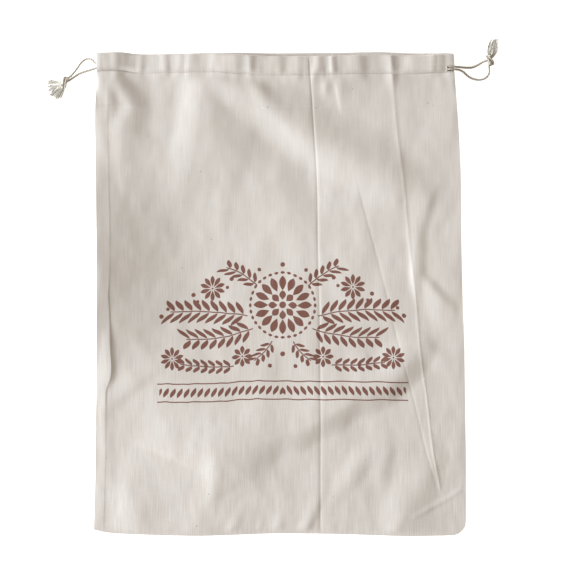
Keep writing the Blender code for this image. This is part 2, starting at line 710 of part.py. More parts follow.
def make_knot(name, x, y, z, tail, material):
    knot = add_knot_body(name, material)
    knot.location = Vector((x, y, z)) * MM
    knot.rotation_euler = (0, 0, radians(tail))
    for number, (length, direction) in enumerate(FRAYED_ENDS[name], 1):
        ply = add_ply(f"{name}_ply_{number}", length, direction, z)
        ply.parent = knot
        union = knot.modifiers.new(ply.name, "BOOLEAN")
        union.operation = "UNION"
        union.object = ply
    return knot


def cloth_material(name, colour):
    """Principled finish of unbleached linen or cotton."""
    material = bpy.data.materials.new(name)
    material.use_nodes = True
    shader = material.node_tree.nodes["Principled BSDF"]
    shader.inputs["Base Color"].default_value = (*colour, 1.0)
    shader.inputs["Roughness"].default_value = 0.9
    shader.inputs["Metallic"].default_value = 0.0
    return material


def main():
    for old in list(bpy.data.objects):
        bpy.data.objects.remove(old, do_unlink=True)
    linen = cloth_material("natural linen", (0.66, 0.62, 0.56))
    cotton = cloth_material("cotton cord", (0.71, 0.68, 0.60))
    make_back_panel(linen)
    make_front_panel(linen)
    make_held_cord("left", -166.0, 145.5, 1, STRAND_NEAR_FOLD, STRAND_NEAR_STITCHES, cotton)
    make_held_cord("right", 146.0, -163.0, -1, STRAND_NEAR_STITCHES, STRAND_NEAR_FOLD, cotton)
    make_free_strands(cotton)
    for row in KNOTS:
        make_knot(*row, cotton)


main()
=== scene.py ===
# %% [markdown]
# # A linen bread bag, dressed around its solids
# The bag's solids are packed already: two sheets of cloth with a hem, two drawcords, four short free
# strands and two knots. This lesson gives each of them the surface of the real thing: woven cloth with
# its creases and gathers, a stitched casing, twisted cord, and knots with frayed ends. Lengths in the
# tables are in millimetres, and Blender gets metres.

# %% Load the frame
from math import cos, pi, radians, sin

import bpy
import numpy as np
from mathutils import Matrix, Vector, noise


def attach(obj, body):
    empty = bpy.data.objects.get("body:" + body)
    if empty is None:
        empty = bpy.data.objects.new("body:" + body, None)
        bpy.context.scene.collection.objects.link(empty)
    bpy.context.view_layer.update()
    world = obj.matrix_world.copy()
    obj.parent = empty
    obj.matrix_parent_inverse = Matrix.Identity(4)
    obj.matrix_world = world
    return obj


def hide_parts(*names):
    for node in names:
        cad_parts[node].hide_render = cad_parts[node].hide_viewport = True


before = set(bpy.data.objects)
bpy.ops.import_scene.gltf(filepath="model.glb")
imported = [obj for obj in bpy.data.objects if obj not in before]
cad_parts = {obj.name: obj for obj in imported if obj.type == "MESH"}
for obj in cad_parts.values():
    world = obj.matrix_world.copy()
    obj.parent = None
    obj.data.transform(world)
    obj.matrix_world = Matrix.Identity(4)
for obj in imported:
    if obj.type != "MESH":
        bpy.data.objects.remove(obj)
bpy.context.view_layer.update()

MM = 0.001


def put(name, data):
    """Object with this data, linked into the scene."""
    thing = bpy.data.objects.new(name, data)
    bpy.context.collection.objects.link(thing)
    return thing


print("solids:", ", ".join(sorted(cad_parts)))

# %% [markdown]
# ## Camera and light
# The bag lies flat and is looked at from straight above, so the camera hangs over it and points down.
# A long lens keeps the bag's sides parallel. The light comes from a large window far away on the left:
# it is soft, but so low that every fold of a few millimetres has a bright and a dark side. A little
# light from all round keeps the dark sides from turning black.

# %% Camera
VIEW_CENTRE = (8.0, 5.5, 8.0)
VIEW_WIDTH = 541.4
CAMERA_HEIGHT = 1800.0
SENSOR = 36.0

lens = bpy.data.cameras.new("overhead camera")
lens.sensor_width = SENSOR
lens.lens = SENSOR * CAMERA_HEIGHT / VIEW_WIDTH
lens.clip_end = 100.0
camera = put("overhead_camera", lens)
camera.location = Vector((VIEW_CENTRE[0], VIEW_CENTRE[1], VIEW_CENTRE[2] + CAMERA_HEIGHT)) * MM
bpy.context.scene.camera = camera
bpy.context.scene.view_settings.view_transform = "Standard"
print(f"lens {lens.lens:.1f} mm")

# %% Window light and studio fill
WINDOW_DISTANCE = 11.0
WINDOW_SIZE = 3.6
WINDOW_ELEVATION = radians(16.5)
WINDOW_SHARE = 0.64
FILL_SHARE = 0.446

window = bpy.data.lights.new("window", "AREA")
window.size = WINDOW_SIZE
window.energy = WINDOW_SHARE * pi**2 * WINDOW_DISTANCE**2 / sin(WINDOW_ELEVATION)
window_light = put("window", window)
towards = Vector((-cos(WINDOW_ELEVATION), 0, sin(WINDOW_ELEVATION)))
window_light.location = towards * WINDOW_DISTANCE
window_light.rotation_euler = towards.to_track_quat("Z", "Y").to_euler()
print(f"window {window.energy:.0f} W")

# %% [markdown]
# ## Two helpers for nodes and colours
# Every finish and every Geometry Nodes tree below is built by one function that adds a node, gives it
# its settings, and fills each input with a value or a link. Colours are written as the sRGB hex codes
# that a colour picker shows, and one function turns them into the linear values that Blender mixes.

# %% Helpers
def linear(code):
    """Linear colour, with alpha, of an sRGB hex code."""
    parts = [int(code[k:k + 2], 16) / 255 for k in (1, 3, 5)]
    return (*[p / 12.92 if p <= 0.04045 else ((p + 0.055) / 1.055) ** 2.4 for p in parts], 1.0)


def add_node(tree, kind, inputs=None, **settings):
    """Adds a node with its settings. An input, by number or name, takes a value, a node or a socket."""
    node = tree.nodes.new(kind)
    for name, value in settings.items():
        setattr(node, name, value)
    for place, value in (inputs or {}).items():
        socket = node.inputs[place]
        if isinstance(place, str):
            socket = next(s for s in node.inputs if s.enabled and s.name == place)
        if isinstance(value, bpy.types.Node):
            value = next(s for s in value.outputs if s.enabled)
        if isinstance(value, bpy.types.NodeSocket):
            tree.links.new(value, socket)
        else:
            socket.default_value = value
    return node


def calc(tree, operation, *values, **settings):
    """Adds one step of arithmetic on numbers or sockets."""
    return add_node(tree, "ShaderNodeMath", dict(enumerate(values)), operation=operation, **settings)


def new_finish(name):
    """Material with an empty Principled surface: (material, tree, surface)."""
    material = bpy.data.materials.new(name)
    material.use_nodes = True
    tree = material.node_tree
    return material, tree, tree.nodes["Principled BSDF"]


# %% [markdown]
# ## Daylight colours
# The window's light is a little cool, as daylight is, and the light from all round is a little warm.
# The camera sees plain white behind everything, whatever strength lights the bag.

# %% Daylight
window.color = linear("#F1F9FF")[:3]
world = bpy.data.worlds.new("studio")
bpy.context.scene.world = world
world.use_nodes = True
background = world.node_tree.nodes["Background"]
background.inputs["Color"].default_value = linear("#FFF4E2")
seen = add_node(world.node_tree, "ShaderNodeLightPath").outputs["Is Camera Ray"]
strength = add_node(world.node_tree, "ShaderNodeMix", {"Factor": seen, "A": FILL_SHARE, "B": 1.0})
world.node_tree.links.new(strength.outputs[0], background.inputs["Strength"])

# %% [markdown]
# ## The cords' finish
# The drawstring is soft pale cotton, matt, with a light fuzz. Its twist is modelled, so the finish only
# adds what is smaller: the fine fibres, and a faint yellow unevenness. Loose fibres are paler than the
# twisted cord. The right cord's cotton is painted a little darker than the left's: painted shade, not
# wear. The pattern reads Object coordinates, because each piece lies in place with its object at the origin.

# %% Cotton cord
FIBRE_WIDTH = 0.25
LIGHT_REACH = 0.5


def cotton_finish(name, base, shade):
    material, tree, surface = new_finish(name)
    place = add_node(tree, "ShaderNodeTexCoord").outputs["Object"]
    fibres = add_node(tree, "ShaderNodeTexNoise", {"Vector": place, "Scale": 1 / (FIBRE_WIDTH * MM * 4),
                                                   "Detail": 3.0})
    patches = add_node(tree, "ShaderNodeTexNoise", {"Vector": place, "Scale": 1 / (9 * MM)})
    blend = calc(tree, "MULTIPLY", fibres, patches)
    tone = add_node(tree, "ShaderNodeMix", {"Factor": blend, "A": linear(base), "B": linear(shade)},
                    data_type="RGBA")
    relief = add_node(tree, "ShaderNodeBump", {"Strength": 0.5, "Distance": 0.1 * MM, "Height": fibres})
    tree.links.new(tone.outputs[2], surface.inputs["Base Color"])
    tree.links.new(relief.outputs[0], surface.inputs["Normal"])
    surface.inputs["Roughness"].default_value = 0.85
    surface.inputs["Sheen Weight"].default_value = 0.2
    surface.inputs["Sheen Roughness"].default_value = 0.5
    surface.inputs["Subsurface Weight"].default_value = 0.4
    surface.inputs["Subsurface Radius"].default_value = (1.0, 0.95, 0.85)
    surface.inputs["Subsurface Scale"].default_value = LIGHT_REACH * MM
    return material


cotton = cotton_finish("soft twisted cotton", "#C4BDB3", "#A89F94")
# The right cord's cotton is a copy painted a little darker: painted shade, not wear.
painted_shade_cotton = cotton_finish("soft twisted cotton, painted shade", "#B9B2A8", "#978C80")
fluffed_cotton = cotton_finish("untwisted cotton", "#D6D1C7", "#C4BEB3")
worn_fluff = cotton_finish("untwisted cotton, handled", "#DAD3CB", "#C6BEB4")

# %% [markdown]
# ## Twisted cord from a line
# A cord of three plies is three thin tubes that wind round one centre line. Sweeping a twisted section
# along the line by hand would need a new mesh for each cord, and here are six cords, two knots and
# many frayed ends. One Geometry Nodes tree does them all: it takes a line of edges, makes a copy for
# each ply, moves the copy off the line by an angle that grows with length, and gives it a round
# section. With one ply and no offset the same tree makes a single tapering fibre.

# %% The yarn tree
YARN_SOCKETS = (
    # name, kind of socket
    ("Line", "NodeSocketGeometry"), ("Step", "NodeSocketFloat"), ("Plies", "NodeSocketInt"),
    ("Ply radius", "NodeSocketFloat"), ("Lay radius", "NodeSocketFloat"), ("Twist length", "NodeSocketFloat"),
    ("Tip share", "NodeSocketFloat"), ("Sides", "NodeSocketInt"), ("Finish", "NodeSocketMaterial"),
)


def make_tree(name, sockets):
    """Empty Geometry Nodes tree: (tree, its inputs' identifiers by name, its input node)."""
    tree = bpy.data.node_groups.new(name, "GeometryNodeTree")
    keys = {}
    for label, kind in sockets:
        keys[label] = tree.interface.new_socket(label, in_out="INPUT", socket_type=kind).identifier
    tree.interface.new_socket("Mesh", in_out="OUTPUT", socket_type="NodeSocketGeometry")
    return tree, keys, add_node(tree, "NodeGroupInput").outputs


def finish_tree(tree, geometry, material):
    """Ends a tree in plain smooth mesh with its finish."""
    smooth_mesh = add_node(tree, "GeometryNodeSetShadeSmooth", {"Geometry": geometry})
    real = add_node(tree, "GeometryNodeRealizeInstances", {"Geometry": smooth_mesh})
    dressed = add_node(tree, "GeometryNodeSetMaterial", {"Geometry": real, "Material": material})
    add_node(tree, "NodeGroupOutput", {0: dressed})


def make_yarn_tree():
    tree, keys, given = make_tree("twisted yarn", YARN_SOCKETS)
    line = add_node(tree, "GeometryNodeMeshToCurve", {"Mesh": given["Line"]})
    even = add_node(tree, "GeometryNodeResampleCurve", {"Curve": line, "Length": given["Step"]},
                    mode="LENGTH")
    plies = add_node(tree, "GeometryNodeDuplicateElements", {"Geometry": even, "Amount": given["Plies"]},
                     domain="SPLINE")
    along = add_node(tree, "GeometryNodeSplineParameter")
    turns = calc(tree, "DIVIDE", along.outputs["Length"], given["Twist length"])
    start = calc(tree, "DIVIDE", plies.outputs["Duplicate Index"], given["Plies"])
    whole = calc(tree, "ADD", turns, start)
    angle = calc(tree, "MULTIPLY", whole, 2 * pi)
    normal = add_node(tree, "GeometryNodeInputNormal").outputs["Normal"]
    tangent = add_node(tree, "GeometryNodeInputTangent")
    side = add_node(tree, "ShaderNodeVectorMath", {0: tangent, 1: normal}, operation="CROSS_PRODUCT")
    offset = []
    for axis, wave in ((normal, "COSINE"), (side, "SINE")):
        swing = calc(tree, wave, angle)
        reach = calc(tree, "MULTIPLY", swing, given["Lay radius"])
        offset.append(add_node(tree, "ShaderNodeVectorMath", {0: axis, "Scale": reach}, operation="SCALE"))
    moved = add_node(tree, "ShaderNodeVectorMath", {0: offset[0], 1: offset[1]}, operation="ADD")
    wound = add_node(tree, "GeometryNodeSetPosition", {"Geometry": plies, "Offset": moved})
    taper = add_node(tree, "ShaderNodeMapRange", {"Value": along.outputs["Factor"], "To Min": 1.0,
                                                  "To Max": given["Tip share"]})
    round_section = add_node(tree, "GeometryNodeCurvePrimitiveCircle",
                             {"Resolution": given["Sides"], "Radius": given["Ply radius"]})
    tube = add_node(tree, "GeometryNodeCurveToMesh", {"Curve": wound, "Profile Curve": round_section,
                                                      "Scale": taper, "Fill Caps": True})
    finish_tree(tree, tube, given["Finish"])
    return tree, keys


YARN = make_yarn_tree()


def grow(name, tree_and_keys, points, edges, values):
    """Plain mesh that a tree makes from a host of points and edges, in metres."""
    tree, keys = tree_and_keys
    mesh = bpy.data.meshes.new(name)
    mesh.from_pydata([tuple(point) for point in points], edges, [])
    host = put(name + "_host", mesh)
    modifier = host.modifiers.new("tree", "NODES")
    modifier.node_group = tree
    for label, value in values.items():
        modifier[keys[label]] = value
    graph = bpy.context.evaluated_depsgraph_get()
    grown = bpy.data.meshes.new_from_object(host.evaluated_get(graph))
    bpy.data.objects.remove(host)
    print(name, len(grown.polygons), "faces")
    return put(name, grown)


def spin(name, lines, material, plies=3, ply_radius=0.64, lay_radius=0.47, twist=8.0, step=0.8, tip=1.0,
         sides=7):
    """Cords or fibres along one or more lines of points, in millimetres."""
    points, edges = [], []
    for line in lines:
        first = len(points)
        points += [Vector(point) * MM for point in line]
        edges += [(k, k + 1) for k in range(first, len(points) - 1)]
    return grow(name, YARN, points, edges, {
        "Step": step * MM, "Plies": plies, "Ply radius": ply_radius * MM, "Lay radius": lay_radius * MM,
        "Twist length": twist * MM, "Tip share": tip, "Sides": sides, "Finish": material})


# %% [markdown]
# ## The free strands
# Each drawcord comes out of its casing as two strands that end in one knot: they hang over the seam
# and then lie on the table. Their lines are short lists of points, which a Catmull-Rom curve joins. A
# curve through the points keeps every bend wide, as limp cord lies.

# %% Routes of the strands
STRAND_ROUTES = {
    # from just inside the casing's end to the middle of the knot
    "left_front": (
        (-170.9, 217.0, 5.7), (-173.0, 216.6, 5.0), (-175.0, 218.6, 3.9), (-177.6, 220.9, 2.4),
        (-180.8, 221.9, 1.4), (-184.0, 221.0, 1.1), (-187.6, 217.8, 1.1), (-191.0, 212.9, 1.1),
        (-193.9, 208.8, 1.5), (-196.6, 205.6, 2.5), (-198.9, 203.8, 3.0), (-202.4, 199.4, 3.3),
    ),
    "left_back": (
        (-171.5, 213.6, 2.4), (-173.0, 213.0, 2.3), (-176.8, 211.9, 1.5), (-181.0, 210.6, 1.1),
        (-185.8, 209.0, 1.1), (-190.2, 206.9, 1.1), (-195.0, 203.5, 2.2), (-197.3, 201.7, 3.0),
        (-202.4, 199.4, 3.3),
    ),
    "right_front": (
        (155.9, 213.9, 7.4), (157.4, 213.9, 8.1), (159.6, 213.8, 8.9), (162.2, 213.7, 9.1),
        (165.6, 213.3, 8.4), (169.5, 213.3, 6.2), (173.4, 213.2, 3.6), (178.0, 213.2, 1.6),
        (182.6, 213.7, 1.1), (187.0, 215.8, 1.2), (190.6, 218.0, 1.9), (193.6, 219.4, 2.9),
        (198.2, 220.4, 3.3),
    ),
    "right_back": (
        (156.2, 211.5, 6.8), (157.4, 211.4, 7.8), (159.6, 211.3, 8.8), (162.2, 211.2, 9.0),
        (165.6, 210.9, 8.0), (169.6, 210.6, 5.4), (173.6, 208.8, 2.8), (178.2, 205.0, 1.3),
        (183.4, 202.5, 1.1), (189.4, 201.9, 1.1), (194.4, 203.8, 1.1), (197.2, 207.2, 1.1),
        (197.9, 211.0, 1.7), (197.4, 214.9, 3.0), (198.2, 220.4, 3.3),
    ),
}


def smooth_route(points, step):
    """Points about a step apart on one smooth curve through the route's own points."""
    points = np.array(points, float)
    padded = np.vstack([2 * points[0] - points[1], points, 2 * points[-1] - points[-2]])
    route = []
    for a, b, c, d in zip(padded, padded[1:], padded[2:], padded[3:]):
        pieces = max(1, round(float(np.linalg.norm(c - b)) / step))
        for t in np.arange(pieces) / pieces:
            route.append(0.5 * (2 * b + (c - a) * t + (2 * a - 5 * b + 4 * c - d) * t**2
                                + (3 * b - a - 3 * c + d) * t**3))
    return np.array(route + [points[-1]])


def length_of(route):
    return float(np.linalg.norm(np.diff(route, axis=0), axis=1).sum())


strand_lines = {name: smooth_route(points, 1.0) for name, points in STRAND_ROUTES.items()}
strands = {}
for name, line in strand_lines.items():
    material = cotton if name.startswith("left") else painted_shade_cotton
    strands[name] = spin(f"{name}_cord", [line], material)
    print(f"{name}: {length_of(line):.1f} mm")

# %% [markdown]
# ## The knots
# Each pair of ends is tied in one overhand knot. An open trefoil is the curve of such a knot, and a
# short polynomial draws it: x = t^3 - 3t, y = t^4 - 4t^2, z = t^5 - 10t. Its long axis is turned into
# the tail's direction, its size is set by the solid, and two cords run side by side along it.

# %% Overhand knots
KNOTS = {
    # centre x, y, z, direction of the tail
    "left": (-202.4, 199.4, 3.3, 218.0),
    "right": (198.2, 220.4, 3.3, 82.0),
}
KNOT_T = 1.98
KNOT_POINTS = 70
KNOT_CLOSES_FROM = 1.75
KNOT_DRAWN_IN = 0.75
KNOT_SCALE = (0.42, 1.45, 1.1)
KNOT_PAIR = 1.15


def knot_frame(side):
    x, y, z, turn = KNOTS[side]
    heading = np.array((cos(radians(turn)), sin(radians(turn)), 0.0))
    across = np.array((-heading[1], heading[0], 0.0))
    return np.array((x, y, z)), heading, across, np.array((0.0, 0.0, 1.0))


def knot_lines(side):
    centre, heading, across, up = knot_frame(side)
    t = np.linspace(-KNOT_T, KNOT_T, KNOT_POINTS)[:, None]
    past = np.clip((np.abs(t) - KNOT_CLOSES_FROM) / (KNOT_T - KNOT_CLOSES_FROM), 0, 1)
    drawn_in = 1 - KNOT_DRAWN_IN * past
    line = centre + heading * (t**5 - 10 * t) * KNOT_SCALE[0]
    line = line + across * (t**3 - 3 * t) * KNOT_SCALE[1] * drawn_in
    line = line + up * (t**4 - 4 * t**2 + 2) * KNOT_SCALE[2] * drawn_in
    tangent = np.gradient(line, axis=0)
    apart = np.cross(tangent, line - centre + 0.01)
    apart = apart / np.linalg.norm(apart, axis=1)[:, None] * KNOT_PAIR
    return [line + apart, line - apart]


knots = {}
for side, material in (("left", cotton), ("right", painted_shade_cotton)):
    knots[side] = spin(f"{side}_overhand_knot", knot_lines(side), material, step=0.6)

# %% [markdown]
# ## The frayed ends
# Past the knot the cords are no longer twisted. They have opened into soft locks of strands that fan
# out on the table. Every strand is a line of its own, a little wavy, spread more towards its tip, and
# the yarn tree gives it one thin ply that tapers. The random numbers have a fixed seed.

# %% Frayed tails
TAILS = {
    # for each lock: length, direction from the tail's own, sideways bow
    "left": ((16.5, -45, 1.0), (17.5, -33, -0.6), (18.0, -20, 0.8), (18.5, -8, -0.8), (19.5, 3, 0.6),
             (19.5, 13, -0.6), (18.5, 23, 0.6), (16.5, 33, 0.6)),
    "right": ((20.5, -9, -3.2), (22.0, -8, -1.3), (22.0, -6, 0.9), (21.0, -4, 2.9)),
}
STRANDS_PER_LOCK = 16
STRAND_RADIUS = 0.38
STRAND_POINTS = 12
TURN_SPREAD = 7.0
LENGTH_SPREAD = (0.82, 1.03)
START_SPREAD = 0.45
END_SPREAD = 0.9
LOOSE_LIFT = 0.7
RIPPLE_HEIGHT = 0.22
RIPPLES = 9
FALL_RATE = 2.2
random = np.random.default_rng(7)


def tail_lines(side):
    centre, heading, across, up = knot_frame(side)
    lines = []
    for length, turn, bow in TAILS[side]:
        for _ in range(STRANDS_PER_LOCK):
            angle = radians(turn + random.uniform(-TURN_SPREAD, TURN_SPREAD))
            reach = length * random.uniform(*LENGTH_SPREAD)
            side_start = random.uniform(-START_SPREAD, START_SPREAD)
            side_end = random.uniform(-END_SPREAD, END_SPREAD)
            lift, phase = random.uniform(0.0, LOOSE_LIFT), random.uniform(0, 2 * pi)
            t = np.linspace(0, 1, STRAND_POINTS)[:, None]
            wave = RIPPLE_HEIGHT * np.sin(phase + RIPPLES * t) * t + bow * np.sin(pi * t)
            wave = wave + side_start + side_end * t**2
            ahead = heading * cos(angle) + across * sin(angle)
            beside = across * cos(angle) - heading * sin(angle)
            height = (STRAND_RADIUS + 0.05 + lift - centre[2]) * np.clip(t * FALL_RATE, 0, 1) ** 0.8
            lines.append(centre + ahead * reach * t + beside * wave + up * height)
    return lines


tails = {}
for side, material in (("left", fluffed_cotton), ("right", worn_fluff)):
    tails[side] = spin(f"{side}_frayed_tail", tail_lines(side), material, plies=1, ply_radius=STRAND_RADIUS,
                       lay_radius=0.0, step=1.5, tip=0.45, sides=4)

# %% [markdown]
# ## The shape of the cloth
# The two panels are sheets, so each is a grid of points in the middle of the cloth. The tables give
# the outline of the bag, its pressed creases and its folds. A fold is a soft ridge along a crest, with
# a width to the west, a width to the east and a height that change along it, and a negative height is
# a hollow. The window light comes from the west, so the west side of a ridge is bright. The seams rise
# with the folds: each rim lies a small drop below the front cloth just inside it.

# %% Outline and creases
CLOTH = 1.0
LAYER_STEP = 1.3
CHANNEL_STEP = 3.6
FOLD_RADIUS = 1.8
CASING_DEPTH = 18.0
MOUTH_OPENING = 3.4
MOUTH_SIDES = (105.0, 100.0)
HEM_INSET_LEFT = 12.0
HEM_INSET_RIGHT = 22.0
THICKNESS = 0.6
BACK_MIDDLE = THICKNESS / 2
SEWN_STEP = 0.65
FRONT_LEVEL = 7.7
SEAM_ROLL = 9.0
TOP_ROLL = 2.0
ROLL_TIGHTENS = 150.0
ROLL_POWER = 2.2
CORNER_RADIUS = 13.0
Y_BOTTOM = -228.0
Y_TOP = 228.0
RIM_INSET = 4.0
RIM_Y = np.arange(Y_BOTTOM, Y_TOP + 2, 2)

SIDE_EDGES = (
    # y, left x, right x, drop from the front cloth to the left rim and to the right rim
    (-228, -174.8, 175.3, 1.05, 1.05), (-194, -174.0, 175.3, 1.15, 1.05), (-156, -173.1, 175.2, 1.2, 1.05),
    (-120, -172.9, 174.6, 1.2, 1.05), (-100, -172.5, 174.4, 1.05, 1.05), (-76, -172.2, 174.0, 1.25, 1.05),
    (-43, -171.7, 173.4, 0.45, 1.05), (-20, -171.4, 172.4, 0.2, 1.05), (-6, -171.2, 172.0, 0.15, 1.05),
    (20, -171.3, 171.4, 0.3, 1.05), (51, -171.6, 170.8, 0.35, 1.05), (80, -172.0, 170.6, 0.5, 1.05),
    (107, -172.4, 170.4, 0.7, 1.05), (135, -172.9, 169.4, 1.0, 1.05), (163, -173.4, 167.8, 1.1, 1.0),
    (190, -172.4, 165.8, 1.0, 0.9), (206, -171.8, 164.8, 7.6, 3.0), (228, -171.6, 163.6, 9.0, 9.0),
)
BOTTOM_EDGE = (
    # x, y
    (-175, -222.0), (-163, -224.7), (-140, -226.2), (-80, -227.8), (-40, -226.7), (-8, -225.5),
    (30, -225.6), (66, -226.3), (122, -228.0), (150, -227.6), (176, -226.8),
)
TOP_EDGE = (
    # x, back panel's y, front panel's y
    (-172, 226.9, 226.9), (-150, 227.5, 227.5), (-131, 225.5, 225.5), (-94, 225.8, 225.8),
    (-65, 227.1, 226.4), (-37, 227.9, 225.0), (-9, 227.2, 223.5), (30, 227.5, 223.7),
    (52, 227.7, 224.1), (95, 228.4, 225.1), (123, 227.2, 224.6), (164, 227.3, 226.6),
)
CREASE_LINES = (
    # y, long crease x, slanting crease x, side crease x
    (224, 27.6, 62.0, 104.4), (154, 32.4, 67.5, 110.5), (107, 35.3, 73.0, 116.4), (41, 36.2, 90.0, 122.7),
    (-6, 37.4, 102.0, 128.3), (-53, 38.2, 113.3, 132.1), (-100, 38.5, 126.5, 138.7),
    (-147, 38.5, 137.6, 144.3), (-184, 38.5, 147.4, 150.9), (-228, 38.5, 146.0, 153.5),
)
CREASES = (
    # column of CREASE_LINES, lowest y, highest y, fade below, fade above, half width, height
    (1, -260, 270, 45, 30, 1.6, -0.28), (2, -190, 125, 20, 45, 2.0, -0.14), (3, -188, 270, 8, 30, 2.0, 0.22),
)


def soften(share):
    """Smooth step from 0 to 1."""
    share = np.clip(share, 0, 1)
    return share * share * (3 - 2 * share)


def read_table(table, column, at):
    """Smooth curve through one column of a table, read at values of its first column."""
    rows = sorted(table)
    place = np.array([row[0] for row in rows], float)
    value = np.array([row[column] for row in rows], float)
    slope = np.gradient(value)
    slope[1:-1] = (value[2:] - value[:-2]) / (place[2:] - place[:-2])
    slope[0], slope[-1] = (np.diff(value) / np.diff(place))[[0, -1]]
    at = np.clip(at, place[0], place[-1])
    i = np.clip(np.searchsorted(place, at, side="right") - 1, 0, len(place) - 2)
    span = place[i + 1] - place[i]
    t = (at - place[i]) / span
    return ((2 * t**3 - 3 * t**2 + 1) * value[i] + (t**3 - 2 * t**2 + t) * span * slope[i]
            + (3 * t**2 - 2 * t**3) * value[i + 1] + (t**3 - t**2) * span * slope[i + 1])


def bottom_edge(x):
    """Bottom seam, with the rounded corner at its right end."""
    past = np.clip(x - (SIDE_EDGES[0][2] - CORNER_RADIUS), 0, CORNER_RADIUS)
    return read_table(BOTTOM_EDGE, 1, x) + CORNER_RADIUS - np.sqrt(CORNER_RADIUS**2 - past**2)


def edge_distances(x, y):
    return x - read_table(SIDE_EDGES, 1, y), read_table(SIDE_EDGES, 2, y) - x, y - bottom_edge(x)


